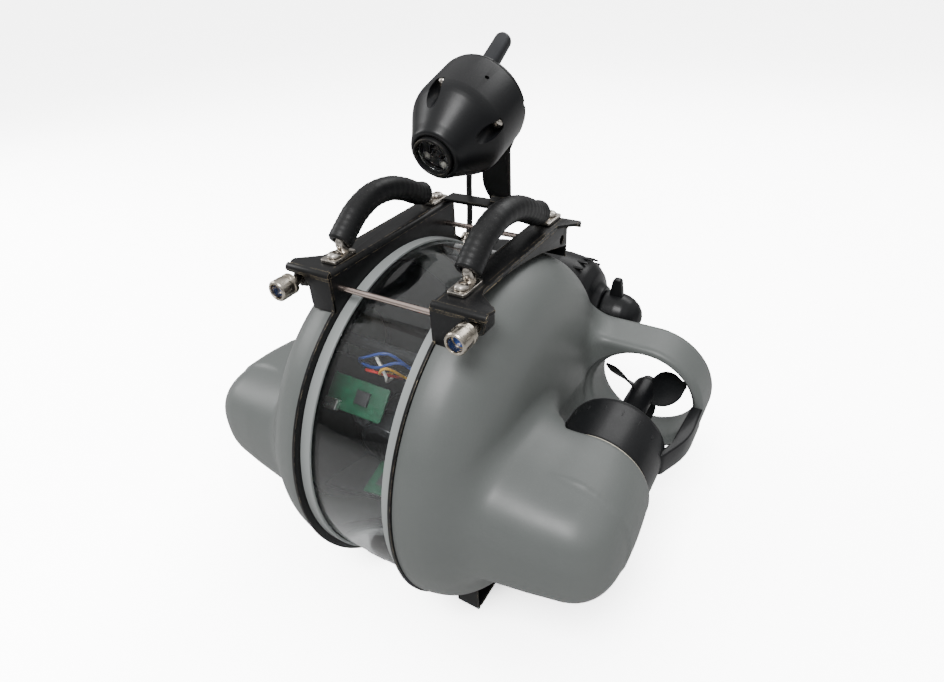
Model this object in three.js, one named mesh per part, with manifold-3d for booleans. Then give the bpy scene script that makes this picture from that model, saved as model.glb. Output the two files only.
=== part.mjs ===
// Small inspection underwater vehicle: two cast half shells clamped on a clear window ring, twin
// thrusters, a pitching camera cradle inside and a lifting frame with lasers and a second camera on top.
// Millimetres, +Z up, the nose looks along -Y, +X is the port side. Everything is drawn about the centre
// of the hull and then raised onto its skids.
import * as THREE from 'three';
import { mergeVertices } from 'three/addons/utils/BufferGeometryUtils.js';
import Module from 'manifold-3d';

const wasm = await Module();
wasm.setup();

// hull
const hullHeight = 134;
const hullSetback = -21.75;
const windowOuter = 119.5;
const windowInner = 113.5;
const windowHalf = 33.5;
const plateInner = 36;
const plateThick = 2;
const seamX = plateInner + plateThick + 0.3;
const gap = 0.3;
const domeOuter = [[seamX, 125], [46, 124.2], [56, 121], [65, 114.5], [72, 105], [76.5, 92], [79, 74], [80, 0]];
const domeInner = [[20, 118.5], [46, 118], [60, 107.5], [69, 92], [73.5, 70], [74.5, 0]];
const domeClear = [[0, 127.1], [43, 127.1], [52, 124], [60, 120], [68, 113], [80, 100], [90, 80]];
// thrusters
const thrustX = 119.5;
const thrustZ = -2;
const boreRadius = 34.8;
const housingRadius = 34.5;
const openingY = -20;
const ductRadius = 46;
const ductBore = 38;
const ductFront = 72;
const ductBack = 108;
const bladeTip = 35;
// lifting frame
const flangeTop = 132.6;
const skidBottom = -134;
const frameFront = -66;
const frameBack = 73;
const flangeReach = 56;
const handleX = 46;
const rodFront = [-58, 120.5];
const rodBack = [62, 117];
const laserX = 62.9;
const laserZ = 123.6;
// second camera
const tiltPivot = [0, 80, 186];
const auxPitch = 18;
const auxNose = [0, 0.6, 187.7];
// tail
const tailY = 128;
const tailZ = 33;
// cradle
const discX = 52;
const ringTeeth = 60;
const pinionTeeth = 10;
const gearModule = 2;
const gearSpacing = (ringTeeth + pinionTeeth) * gearModule / 2 + 0.5;
const pinionAngle = 45;

const deg = Math.PI / 180;
const vehicle = new THREE.Group();
vehicle.name = 'vehicle';
const hull = new THREE.Group();
hull.name = 'hull_frame';
hull.position.set(0, hullSetback, hullHeight);
vehicle.add(hull);

const finishes = {
  paint: { color: 0x7f8583, roughness: 0.5, metalness: 0.1 },
  ringGrey: { color: 0x9fa4a3, roughness: 0.4, metalness: 0.2 },
  anodised: { color: 0x17181a, roughness: 0.45, metalness: 0.6 },
  blackPlastic: { color: 0x141517, roughness: 0.5, metalness: 0 },
  rubber: { color: 0x0f0f10, roughness: 0.85, metalness: 0 },
  stainless: { color: 0xb9b2a8, roughness: 0.3, metalness: 1 },
  nickel: { color: 0xa79c8c, roughness: 0.28, metalness: 1 },
  clear: { color: 0xdfe6e6, roughness: 0.05, metalness: 0 },
  board: { color: 0x1f6b45, roughness: 0.5, metalness: 0 },
  cell: { color: 0x27529c, roughness: 0.45, metalness: 0 },
  darkGrey: { color: 0x34363a, roughness: 0.55, metalness: 0 },
  copper: { color: 0x9a5a32, roughness: 0.4, metalness: 0.9 },
  cream: { color: 0xd8d2bd, roughness: 0.7, metalness: 0 },
};

// ---- helpers ----
function signedVolume(geometry) {
  const p = geometry.attributes.position;
  const index = geometry.index;
  const a = new THREE.Vector3();
  const b = new THREE.Vector3();
  const c = new THREE.Vector3();
  let sum = 0;
  for (let i = 0; i < index.count; i += 3) {
    a.fromBufferAttribute(p, index.getX(i));
    b.fromBufferAttribute(p, index.getX(i + 1));
    c.fromBufferAttribute(p, index.getX(i + 2));
    sum += a.dot(b.cross(c));
  }
  return sum / 6;
}

// one closed, outward-facing skin with shared corners
function closed(geometry) {
  let skin = geometry.clone();
  skin.deleteAttribute('normal');
  skin.deleteAttribute('uv');
  skin = mergeVertices(skin, 1e-3);
  const kept = [];
  const index = skin.index;
  for (let i = 0; i < index.count; i += 3) {
    const t = [index.getX(i), index.getX(i + 1), index.getX(i + 2)];
    if (t[0] !== t[1] && t[1] !== t[2] && t[0] !== t[2]) kept.push(...t);
  }
  skin.setIndex(kept);
  if (signedVolume(skin) < 0) {
    for (let i = 0; i < kept.length; i += 3) [kept[i + 1], kept[i + 2]] = [kept[i + 2], kept[i + 1]];
    skin.setIndex(kept);
  }
  return skin;
}

function solid(geometry) {
  const skin = closed(geometry);
  return new wasm.Manifold(new wasm.Mesh({
    numProp: 3,
    vertProperties: new Float32Array(skin.attributes.position.array),
    triVerts: new Uint32Array(skin.index.array),
  }));
}

function fromSolid(manifold) {
  const mesh = manifold.getMesh();
  const geometry = new THREE.BufferGeometry();
  geometry.setAttribute('position', new THREE.BufferAttribute(new Float32Array(mesh.vertProperties), 3));
  geometry.setIndex(new THREE.BufferAttribute(new Uint32Array(mesh.triVerts), 1));
  return geometry;
}

const union = (first, ...rest) => rest.reduce((sum, item) => sum.add(solid(item)), solid(first));

const cut = (body, ...tools) => tools.reduce((sum, item) => sum.subtract(solid(item)), body);

function place(name, geometry, finish, parent = hull) {
  const skin = geometry.getMesh ? fromSolid(geometry) : closed(geometry);
  skin.computeVertexNormals();
  const mesh = new THREE.Mesh(skin, new THREE.MeshStandardMaterial(finishes[finish]));
  mesh.name = name;
  parent.add(mesh);
  return mesh;
}

const mirrored = (geometry) => geometry.clone().scale(-1, 1, 1);

// profile points are [distance along the axis, radius]
function turned(profile, segments, axis, loop = false) {
  const points = profile.map(([along, radius]) => new THREE.Vector2(radius, along));
  if (loop) points.push(points[0].clone());
  const geometry = new THREE.LatheGeometry(points, segments);
  if (axis === 'x') geometry.rotateZ(-Math.PI / 2);
  if (axis === 'z') geometry.rotateX(Math.PI / 2);
  return geometry;
}

// solid turning closed by points on the axis
function knob(profile, segments, axis) {
  const first = profile[0];
  const last = profile[profile.length - 1];
  return turned([[first[0], 0], ...profile, [last[0], 0]], segments, axis);
}

const rod = (from, to, radius, segments, axis) => knob([[from, radius], [to, radius]], segments, axis);

function ring(from, to, inner, outer, segments, axis) {
  return turned([[from, inner], [from, outer], [to, outer], [to, inner]], segments, axis, true);
}

function box(x0, x1, y0, y1, z0, z1) {
  const geometry = new THREE.BoxGeometry(x1 - x0, y1 - y0, z1 - z0);
  return geometry.translate((x0 + x1) / 2, (y0 + y1) / 2, (z0 + z1) / 2);
}

const shape = (points) => new THREE.Shape(points.map(([a, b]) => new THREE.Vector2(a, b)));

// outline drawn as [x, y], raised along z
function slabZ(points, z0, z1) {
  const geometry = new THREE.ExtrudeGeometry(shape(points), { depth: z1 - z0, bevelEnabled: false });
  return geometry.translate(0, 0, z0);
}

// outline drawn as [x, z], raised along y
function slabY(points, y0, y1) {
  const geometry = new THREE.ExtrudeGeometry(shape(points), { depth: y1 - y0, bevelEnabled: false });
  return geometry.rotateX(Math.PI / 2).translate(0, y1, 0);
}

// outline drawn as [y, z], raised along x
function slabX(outline, x0, x1) {
  const drawn = Array.isArray(outline) ? shape(outline) : outline;
  const geometry = new THREE.ExtrudeGeometry(drawn, { depth: x1 - x0, bevelEnabled: false, curveSegments: 1 });
  return geometry.rotateX(Math.PI / 2).rotateZ(Math.PI / 2).translate(x0, 0, 0);
}

// round bar or hose bent through a run of points
function bent(points, radius, steps, segments, inner = 0) {
  const path = new THREE.CatmullRomCurve3(points.map((p) => new THREE.Vector3(...p)), false, 'centripetal');
  const section = new THREE.Shape();
  section.absarc(0, 0, radius, 0, 2 * Math.PI);
  if (inner > 0) section.holes.push(new THREE.Path().absarc(0, 0, inner, 0, 2 * Math.PI, true));
  return new THREE.ExtrudeGeometry(section, { steps, extrudePath: path, curveSegments: segments });
}

// ---- hull: window ring, clamp rings, seals ----
const hullSegments = 40;
place('window_ring', ring(-windowHalf, windowHalf, windowInner, windowOuter, hullSegments, 'x'), 'clear');
const clampRing = ring(28, plateInner - gap, windowOuter + gap, 121.8, hullSegments, 'x');
const sealRing = ring(windowHalf + gap, plateInner - gap, 113.5, windowOuter, hullSegments, 'x');
place('port_clamp_ring', clampRing, 'ringGrey');
const glandY = 80;
const glandTilt = Math.atan2(96, glandY);
place('starboard_clamp_ring', mirrored(clampRing), 'ringGrey');
place('port_seal', sealRing, 'rubber');
place('starboard_seal', mirrored(sealRing), 'rubber');

// ---- half shells with thruster pod and propeller shroud ----
const podStations = [[58, -47, -3, 60, 52], [84, -50, -4, 56, 46], [110, -52.5, -4, 50.5, 41], [134, -54, -4, 45, 37],
  [146, -55, -4, 38, 31], [153, -56, -4, 29, 23], [157, -56, -4, 17, 13]];
function podBody() {
  const blank = knob(podStations.map(([x]) => [x, 1]), 28, 'x');
  const skin = closed(blank);
  const p = skin.attributes.position;
  const squareness = 2.7;
  const squared = (v) => Math.sign(v) * Math.abs(v) ** (2 / squareness);
  for (let i = 0; i < p.count; i += 1) {
    const station = podStations.find(([x]) => Math.abs(x - p.getX(i)) < 0.01);
    const [, middleY, middleZ, halfY, halfZ] = station;
    const onAxis = Math.hypot(p.getY(i), p.getZ(i)) < 0.01;
    const y = onAxis ? 0 : squared(p.getY(i));
    const z = onAxis ? 0 : squared(p.getZ(i));
    p.setXYZ(i, station[0], middleY + halfY * y, middleZ + halfZ * z);
  }
  return skin;
}
const onThruster = (geometry) => geometry.translate(thrustX, 0, thrustZ);
const strutHeight = 9;
function halfShell() {
  const lastDome = domeOuter[domeOuter.length - 1][0];
  const dome = turned([[seamX, 0], ...domeOuter.slice(0, -1), [lastDome, 0]], hullSegments, 'x');
  const shroudTop = thrustZ + ductRadius;
  const shroudArm = box(60, thrustX, ductFront, ductBack, thrustZ - ductRadius, shroudTop);
  const shroudRound = rod(ductFront, ductBack, ductRadius, 36, 'y').translate(thrustX, 0, thrustZ);
  const collar = onThruster(rod(-60, openingY, 37.4, 32, 'y'));
  let body = union(dome, podBody(), shroudArm, shroudRound, collar);
  const hollow = turned([[domeInner[0][0], 0], ...domeInner.slice(0, -1), [74.5, 0]], hullSegments, 'x');
  body = cut(body, hollow);
  const axle = rod(46, 76, 8, 16, 'x');
  body = body.add(solid(axle));
  const behindPod = onThruster(rod(openingY, 66, 41, 32, 'y'));
  const bore = onThruster(rod(-72, openingY + 2, boreRadius, 32, 'y'));
  const duct = rod(ductFront - 5, ductBack + 5, ductBore, 36, 'y').translate(thrustX, 0, thrustZ);
  return cut(body, behindPod, bore, duct);
}
const shell = fromSolid(halfShell());
place('port_shell', shell, 'paint');
place('starboard_shell', mirrored(shell), 'paint');

// ---- seam plates folded into lifting flanges and skids ----
const plateRadius = 126.5;
function seamOutline() {
  const outline = new THREE.Shape();
  const backCorner = Math.asin(frameBack / plateRadius);
  const frontCorner = Math.asin(-frameFront / plateRadius);
  const skidTop = skidBottom + plateThick / 2;
  outline.moveTo(frameFront, flangeTop - 1);
  const arc = (from, to, steps) => {
    for (let i = 0; i <= steps; i += 1) {
      const a = from + (to - from) * i / steps;
      outline.lineTo(plateRadius * Math.cos(a), plateRadius * Math.sin(a));
    }
  };
  outline.lineTo(frameBack, flangeTop - 1);
  arc(Math.PI / 2 - backCorner, -Math.PI / 2 + backCorner, 16);
  outline.lineTo(frameBack, skidTop);
  outline.lineTo(frameFront, skidTop);
  arc(-Math.PI / 2 - frontCorner, -3 * Math.PI / 2 + frontCorner, 16);
  outline.closePath();
  const opening = new THREE.Path();
  opening.absarc(0, 0, 108, 0, 2 * Math.PI, false);
  outline.holes.push(new THREE.Path(opening.getSpacedPoints(hullSegments).slice(0, -1)));
  return outline;
}
const tabScrews = [[handleX, -48], [handleX, 66]];
function framePlate() {
  const inner = plateInner;
  const side = slabX(seamOutline(), inner, inner + plateThick);
  const flange = slabZ([[inner, frameFront], [68, frameFront], [72, frameFront + 3], [72, frameFront + 8],
    [flangeReach, -44], [flangeReach, 58], [66, 66], [66, frameBack], [inner, frameBack]],
  flangeTop - plateThick, flangeTop);
  const lip = slabY([[inner, 127.8], [71, 127.8], [72, 128.4], [72, flangeTop - 0.5], [inner, flangeTop - 0.5]],
    frameFront, frameFront + plateThick);
  const skirt = slabX([[-42, 130], [-22, 130], [5, 128], [35, 122.5], [60, 115.5], [frameBack, 112],
    [frameBack, flangeTop - 1], [-42, flangeTop - 1]], flangeReach - plateThick, flangeReach);
  const frontLeg = slabY([[inner, 108], [54, 108], [54, 122], [57, 126], [60, 128], [inner, 128]],
    frameFront, frameFront + plateThick);
  const backLeg = slabY([[inner, 104], [flangeReach, 104], [flangeReach, flangeTop - 0.5], [inner, flangeTop - 0.5]],
    frameBack - plateThick, frameBack);
  const backLip = box(inner, 66, frameBack - plateThick, frameBack, 127.5, flangeTop - 0.5);
  const skid = box(inner, 54, frameFront, frameBack, skidBottom, skidBottom + plateThick);
  const skidFront = box(inner, 54, frameFront, frameFront + plateThick, skidBottom + 0.5, -108);
  const skidBack = box(inner, 54, frameBack - plateThick, frameBack, skidBottom + 0.5, -104);
  const body = union(side, flange, lip, skirt, frontLeg, backLeg, backLip, skid, skidFront, skidBack);
  const holes = tabScrews.map(([x, y]) => rod(125, 137, 2.3, 10, 'z').translate(x, y, 0));
  const rodHoles = [rodFront, rodBack].map(([y, z]) => rod(30, 40, 2.3, 10, 'x').translate(0, y, z));
  const skirtHole = rod(flangeReach - 4, flangeReach + 2, 3.2, 12, 'x').translate(0, 64, 119.5);
  return cut(body, ...holes, ...rodHoles, skirtHole);
}
const plate = fromSolid(framePlate());
place('port_frame_plate', plate, 'anodised');
place('starboard_frame_plate', mirrored(plate), 'anodised');

// ---- handles: steel bar with flat feet, soft sleeve, button screws ----
const handleRun = [[-41.5, 141.6], [-33, 148], [-22, 155], [-6, 159.6], [12, 158.4], [27, 153], [40, 146],
  [50, 142.9]];
const tabBottom = flangeTop + gap;
const tabTop = tabBottom + 2;
const barRun = [[-38.8, tabBottom + 1], [-40.6, 141.9], ...handleRun.slice(1), [55.5, tabBottom + 1]];
const atHandle = ([y, z]) => [handleX, y, z];
function handleBar() {
  const bar = bent(barRun.map(atHandle), 3.4, 16, 4);
  const frontTab = box(handleX - 6, handleX + 6, -55, -34, tabBottom, tabTop);
  const backTab = box(handleX - 6, handleX + 6, 52, frameBack - 1, tabBottom, tabTop);
  const trim = box(handleX - 12, handleX + 12, -60, 80, tabBottom - 12, tabBottom);
  const holes = tabScrews.map(([x, y]) => rod(125, 137, 2.3, 10, 'z').translate(x, y, 0));
  return cut(union(bar, frontTab, backTab), trim, ...holes);
}
function grip() {
  const sleeve = bent(handleRun.map(atHandle), 8, 14, 5);
  return cut(solid(sleeve), bent(barRun.map(atHandle), 3.8, 16, 4));
}
const bar = fromSolid(handleBar());
const sleeve = fromSolid(grip());
function buttonScrew(x, y) {
  const head = knob([[tabTop - 6, 2], [tabTop + gap, 2], [tabTop + gap, 4.4], [tabTop + 1.6, 4], [tabTop + 2.8, 2.6]],
    16, 'z');
  const socket = rod(tabTop + 1.3, tabTop + 4, 1.5, 6, 'z');
  return fromSolid(cut(solid(head), socket)).translate(x, y, 0);
}
for (const [side, flip] of [['port', (g) => g], ['starboard', mirrored]]) {
  place(`${side}_handle_bar`, flip(bar), 'stainless');
  place(`${side}_handle_grip`, flip(sleeve), 'rubber');
  place(`${side}_handle_front_screw`, flip(buttonScrew(...tabScrews[0])), 'stainless');
  place(`${side}_handle_back_screw`, flip(buttonScrew(...tabScrews[1])), 'stainless');
}

// ---- threaded cross rods with their nuts ----
function crossRod([y, z]) {
  const nut = rod(plateInner + plateThick + gap, plateInner + plateThick + 4, 4, 6, 'x');
  return fromSolid(union(rod(-44, 44, 1.9, 12, 'x'), nut, mirrored(nut))).translate(0, y, z);
}
place('front_cross_rod', crossRod(rodFront), 'stainless');
place('back_cross_rod', crossRod(rodBack), 'stainless');

// ---- laser pointers under the front lips ----
function laserBarrel() {
  const profile = [[-48, 0], [-48, 3.4], [-70, 3.4], [-70, 6.8], [-83.6, 6.8], [-83.6, 4.6], [-78, 4.6], [-78, 0]];
  return turned(profile, 20, 'y').translate(laserX, 0, laserZ);
}
function laserBlock() {
  const block = box(laserX - 5.2, laserX + 5.2, -62, -51, laserZ - 6.4, flangeTop - plateThick - gap);
  const nut = rod(-63.6, -61, 6, 8, 'y').translate(laserX, 0, laserZ);
  const bore = rod(-70, -40, 3.7, 16, 'y').translate(laserX, 0, laserZ);
  return cut(union(block, nut), bore);
}
const barrel = closed(laserBarrel());
const block = fromSolid(laserBlock());
for (const [side, flip] of [['port', (g) => g], ['starboard', mirrored]]) {
  place(`${side}_laser_barrel`, flip(barrel), 'nickel');
  place(`${side}_laser_mount`, flip(block), 'anodised');
}

// ---- rear strap, arm and second camera ----
const strapBottom = flangeTop + gap;
const strapTop = strapBottom + 2.6;
function strap() {
  const flat = slabZ([[-39, 63], [39, 63], [39, 76.5], [-39, 76.5]], strapBottom, strapTop);
  const arm = slabY([[-4, 134], [10, 134], [11, 138], [11, 191], [6.3, 191], [6.3, 172], [-6.3, 172], [-6.3, 191],
    [-11, 191], [-11, 146]], 73.5, 76.5);
  const cheek = (x0, x1) => slabX([[73.5, 172], [76, 172], [84, 179], [86, 184], [86, 188], [83.5, 191.5], [80, 192],
    [73.5, 191]], x0, x1);
  const pivotHole = rod(-12, 12, 3, 14, 'x').translate(0, tiltPivot[1], tiltPivot[2]);
  return cut(union(flat, arm, cheek(-11, -6.3), cheek(6.3, 11)), pivotHole);
}
place('rear_strap_arm', strap(), 'anodised');
function tiltPin() {
  const pin = rod(-11 - gap, 11 + gap, 2.7, 14, 'x');
  const head = rod(11 + gap, 14, 5, 6, 'x');
  return fromSolid(union(pin, head, mirrored(head))).translate(0, tiltPivot[1], tiltPivot[2]);
}
place('tilt_pin', tiltPin(), 'stainless');

const aux = new THREE.Group();
aux.name = 'second_camera';
aux.position.set(...auxNose);
aux.rotation.x = auxPitch * deg;
hull.add(aux);
const auxScrewAngles = [-10, 80, 170, 260];
const auxTop = 59.5;
function aroundAux(geometry, angle) {
  return geometry.clone().rotateY(angle * deg);
}
function auxHousing() {
  const outer = [[0, 16], [6, 18.7], [20, 27], [26, 30.2], [31, 31], [auxTop, 31]];
  const body = solid(knob(outer, 28, 'y'));
  const cavity = knob([[-1, 13.2], [8, 13.2], [8, 15], [20, 20.5], [35.5, 20.5], [36, 26.5], [auxTop + 1, 26.5]],
    20, 'y');
  const pocket = rod(3, 33, 4.6, 10, 'y').translate(0, 0, 27.5);
  return cut(body, cavity, ...auxScrewAngles.map((a) => aroundAux(pocket, a)));
}
place('camera_housing', auxHousing(), 'blackPlastic', aux);
place('camera_bezel', ring(-2.4, 6, 11, 12.9, 24, 'y'), 'anodised', aux);
place('camera_port', rod(0.4, 3.4, 10.7, 24, 'y'), 'clear', aux);
function lampBoard() {
  const lamps = [-18, 72, 162, 252].map((a) => aroundAux(rod(4.2, 7, 2.4, 12, 'y').translate(0, 0, 8), a));
  return union(ring(6.4, 8, 5.3, 10.7, 20, 'y'), ...lamps);
}
place('camera_lamp_board', lampBoard(), 'cream', aux);
const lensProfile = [[3.8, 2], [4.2, 3.6], [6, 4.6], [26, 4.9], [26, 6.5], [30, 6.5]];
place('camera_lens', knob(lensProfile, 20, 'y'), 'blackPlastic', aux);
const ventPlug = [3, auxTop + 5.7, 17];
function rearCap() {
  const disc = knob([[auxTop - 8, 26.1], [auxTop + gap, 26.1], [auxTop + gap, 30.4], [auxTop + 3, 30],
    [auxTop + 4.5, 28]], 28, 'y');
  const pivotY = tiltPivot[1] - auxNose[1];
  const pivotZ = tiltPivot[2] - auxNose[2];
  const c = Math.cos(-auxPitch * deg);
  const s = Math.sin(-auxPitch * deg);
  const localY = c * pivotY - s * pivotZ;
  const localZ = s * pivotY + c * pivotZ;
  const lug = box(-6, 6, auxTop + 2, localY, localZ - 5, localZ + 5);
  const eye = rod(-6, 6, 5.4, 18, 'x').translate(0, localY, localZ);
  const hole = rod(-8, 8, 3, 14, 'x').translate(0, localY, localZ);
  const notches = [30, 90, 150, 210, 330].map((a) => aroundAux(box(-2, 2, auxTop - 1, auxTop + 6, 28.8, 34), a));
  const cableSeat = rod(auxTop - 2, auxTop + 6, 2.8, 10, 'y').translate(-19, 0, -14);
  const plugSeat = rod(auxTop - 2, auxTop + 8, 4.2, 12, 'y').translate(ventPlug[0], 0, ventPlug[2]);
  return cut(union(disc, lug, eye), hole, ...notches, cableSeat, plugSeat);
}
place('camera_rear_cap', rearCap(), 'blackPlastic', aux);
const plugTilt = 12;
const plugBody = knob([[-4, 3], [0.6, 3], [0.6, 6], [30, 5.6], [32, 4]], 16, 'y');
place('camera_vent_plug', plugBody.rotateX(plugTilt * deg).translate(...ventPlug), 'darkGrey', aux);
auxScrewAngles.forEach((angle, i) => {
  const screw = knob([[32.7, 3.4], [30.8, 3.4], [30, 2.2]], 12, 'y').translate(0, 0, 27.5);
  place(`camera_screw_${i + 1}`, aroundAux(screw, angle), 'stainless', aux);
});

// lead from the second camera down behind the strap to the gland in the starboard clamp ring
const leadStart = new THREE.Vector3(-19, auxTop, -14);
leadStart.applyAxisAngle(new THREE.Vector3(1, 0, 0), auxPitch * deg).add(new THREE.Vector3(...auxNose));
const glandOut = new THREE.Vector3(0, Math.cos(glandTilt), Math.sin(glandTilt));
const glandAt = (radius) => glandOut.clone().multiplyScalar(radius).setX(-32.3).toArray();
const lead = bent([leadStart.toArray(), [-19, 69.5, 195.4], [-21, 78, 194], [-25, 86, 180], [-31, 88, 145],
  [-32, 88, 118], glandAt(134), glandAt(124)], 2.3, 24, 5);
place('camera_lead', lead, 'rubber');
const leadGland = [[122.1, 2.9], [122.1, 5], [127.5, 5], [127.5, 4.2], [131, 3.8], [131, 2.9]];
const glandBody = turned(leadGland, 12, 'y', true).rotateX(glandTilt).translate(-32.3, 0, 0);
place('lead_gland', cut(solid(glandBody), box(-50, -35.7, 40, 120, 60, 140)), 'nickel');

// ---- thrusters ----
function motorHousing() {
  const skin = knob([[-71, housingRadius], [20, housingRadius], [25, 33.4], [27, 30.5], [36, 20], [42, 12], [50, 9.5],
    [50, 3], [95.4, 3], [95.4, 5.6], [98.4, 5.6]], 32, 'y');
  const hollow = rod(-75, 20, 31.5, 24, 'y');
  const strut = box(31, 46, 12, ductFront - gap, -strutHeight, strutHeight);
  const aroundBlades = rod(26, 80, 37.4, 28, 'y');
  return cut(solid(skin).add(cut(solid(strut), aroundBlades)), hollow);
}
function propeller() {
  const blades = [90, 210, 330].map((turn) => {
    const blade = new THREE.BoxGeometry(1, 1, 1, 5, 3, 1);
    const p = blade.attributes.position;
    for (let i = 0; i < p.count; i += 1) {
      const along = p.getX(i) + 0.5;
      const across = p.getY(i);
      const radius = 6 + along * (bladeTip - 6);
      const chord = 19 + 9 * Math.sin(Math.PI * Math.min(1, along * 1.05)) - 10 * along ** 4;
      const pitch = (62 - 34 * along) * deg;
      const thick = 2.4 - 1.2 * along;
      const depth = p.getZ(i) * thick * (1 - 1.5 * across * across);
      const side = across * chord;
      const around = side * Math.cos(pitch) - depth * Math.sin(pitch);
      const lift = side * Math.sin(pitch) + depth * Math.cos(pitch);
      p.setXYZ(i, radius * Math.cos(around / radius), lift, radius * Math.sin(around / radius));
    }
    return blade.rotateY(turn * deg).translate(0, 82, 0);
  });
  const hub = knob([[51, 9.2], [88, 9.2], [93, 7.5], [95, 5.5]], 20, 'y');
  return cut(union(hub, ...blades), rod(45, 99, 3.3, 14, 'y'));
}
const thrusterPieces = [
  ['motor_housing', fromSolid(motorHousing()), 'blackPlastic'],
  ['propeller', fromSolid(propeller()), 'blackPlastic'],
  ['coupling_rotor', knob([[-11.7, 4], [-6, 4], [-6, 28], [16, 28], [18, 26]], 28, 'y'), 'copper'],
  ['drive_motor', knob([[-66, 22], [-62, 30.8], [-16, 30.8], [-12, 22]], 28, 'y'), 'darkGrey'],
];
for (const [side, flip] of [['port', (g) => g], ['starboard', mirrored]]) {
  for (const [piece, geometry, finish] of thrusterPieces) {
    place(`${side}_${piece}`, flip(onThruster(geometry.clone())), finish);
  }
}

// ---- tail: tether housing lying across the back of the hull ----
const atTail = (geometry) => geometry.translate(0, tailY, tailZ);
function tailHousing() {
  const half = [[0, 42], [30, 42], [46, 39], [56, 34], [61, 28.5], [63, 22], [68, 19.5]];
  const profile = [...half.slice(1).reverse().map(([x, r]) => [-x, r]), ...half.slice(1)];
  const room = domeClear.slice(1);
  const otherRoom = [...room].reverse().map(([x, r]) => [-x, r]);
  const hullRoom = turned([[-90, 0], ...otherRoom, ...room, [90, 0]], hullSegments, 'x');
  const under = box(-90, 90, 60, 200, -40, 4);
  return cut(solid(atTail(knob(profile, 32, 'x'))), hullRoom, under);
}
place('tail_housing', tailHousing(), 'blackPlastic');
function tailKnob() {
  const body = knob([[68 + gap, 17], [80, 17.5], [86, 16.5], [93, 13], [98, 7], [100, 2]], 28, 'x');
  const wing = slabX([[-3, 10], [3, 10], [2.4, 33], [-2.4, 33]], 71, 84);
  const bevel = slabY([[70, 18], [76, 36], [70, 36]], -5, 5);
  const bevelBack = slabY([[85, 18], [85, 36], [80.5, 36]], -5, 5);
  return cut(solid(body).add(cut(solid(wing), bevel, bevelBack)));
}
place('tail_knob', fromSolid(tailKnob()).translate(0, tailY, tailZ), 'blackPlastic');
function tetherGland() {
  const nut = rod(68 + gap, 78, 15.5, 8, 'x');
  const boot = knob([[77, 11], [90, 8.5], [104, 6.4]], 20, 'x');
  const inlet = rod(84, 110, 3.6, 14, 'x');
  return fromSolid(cut(union(nut, boot), inlet)).scale(-1, 1, 1).translate(0, tailY, tailZ);
}
place('tether_gland', tetherGland(), 'rubber');

// ---- pitching cradle inside the hull ----
const cradle = new THREE.Group();
cradle.name = 'cradle_frame_group';
hull.add(cradle);
function gearOutline(teeth, clearance) {
  const pitchRadius = teeth * gearModule / 2;
  const points = [];
  for (let i = 0; i < teeth; i += 1) {
    const middle = 2 * Math.PI * i / teeth;
    const step = 2 * Math.PI / teeth;
    for (const [share, lift] of [[-0.3, -1.5], [-0.13, 1 - clearance], [0.13, 1 - clearance], [0.3, -1.5]]) {
      const radius = pitchRadius + lift;
      points.push([radius * Math.cos(middle + share * step), radius * Math.sin(middle + share * step)]);
    }
  }
  return points;
}
function cradleFrame() {
  const disc = ring(discX, discX + 3, 8 + gap, 94, 32, 'x');
  const hub = ring(discX - 6, discX + 4.5, 8 + gap, 14, 16, 'x');
  const bars = [22, 122, 215, 325].map((a) => rod(-discX - 1, discX + 1, 4, 8, 'x')
    .translate(0, 84 * Math.cos(a * deg), 84 * Math.sin(a * deg)));
  const deck = box(-discX - 1, discX + 1, -84, 70, -34, -31);
  const wall = box(-discX - 1, discX + 1, -52, -49, -33, 62);
  const windowCut = rod(-60, -40, 21.4, 24, 'y').translate(0, 0, 26);
  const holes = [110, 250].map((a) => rod(40, 60, 20, 16, 'x')
    .translate(0, 58 * Math.cos(a * deg), 58 * Math.sin(a * deg)));
  const body = union(disc, mirrored(disc), hub, mirrored(hub), ...bars, deck, wall);
  return cut(body, windowCut, ...holes, ...holes.map(mirrored));
}
place('cradle_frame', cradleFrame(), 'darkGrey', cradle);
const ringGearX = discX + 3 + gap;
place('ring_gear', cut(solid(slabX(gearOutline(ringTeeth, 0), ringGearX, ringGearX + 4)),
  rod(40, 70, 46, 24, 'x')), 'blackPlastic', cradle);
place('main_camera', knob([[-84, 12], [-82, 16], [-70, 17.5], [-70, 21], [-30, 21], [-26, 17]], 24, 'y')
  .translate(0, 0, 26), 'blackPlastic', cradle);
function lampPanel() {
  const board = box(26, 48, -55.4, -53.6, 6, 46);
  const lamps = [13, 26, 39].map((z) => rod(-60, -55, 6, 14, 'y').translate(37, 0, z));
  return fromSolid(union(board, ...lamps));
}
place('port_lamp_panel', lampPanel(), 'cream', cradle);
place('starboard_lamp_panel', mirrored(lampPanel()), 'cream', cradle);
function circuitBoard() {
  const board = box(-24, 24, -17, 17, -0.8, 0.8);
  const chips = [[-14, -6, 9, 9, 2.4], [4, 4, 12, 8, 3], [14, -9, 7, 6, 4]].map(([x, y, w, d, h]) => (
    box(x - w / 2, x + w / 2, y - d / 2, y + d / 2, 0.5, h)));
  const plug = box(-22, -10, -17.5, -9, -6, -0.5);
  return union(board, ...chips, plug);
}
const boardMesh = place('control_board', circuitBoard(), 'board', cradle);
boardMesh.position.set(0, -72, -14);
boardMesh.rotation.x = 35 * deg;
place('battery_pack', box(-44, 44, -46, 46, -80, -34.3), 'cell', cradle);
place('drum_weight', knob([[-30, 18], [-28, 20], [28, 20], [30, 18]], 28, 'x').translate(0, 46, 56), 'darkGrey', cradle);
const loom = bent([[0, -49, -8], [6, -44, -2], [14, -38, 0], [20, -24, 8], [12, -16, 20], [0, -25.5, 26]], 2.2, 16, 4);
place('wire_loom', cut(solid(loom), box(-8, 8, -52.2, -48.7, -12, 0), box(-8, 8, -40, -25.7, 8, 44)), 'copper', cradle);
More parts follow.
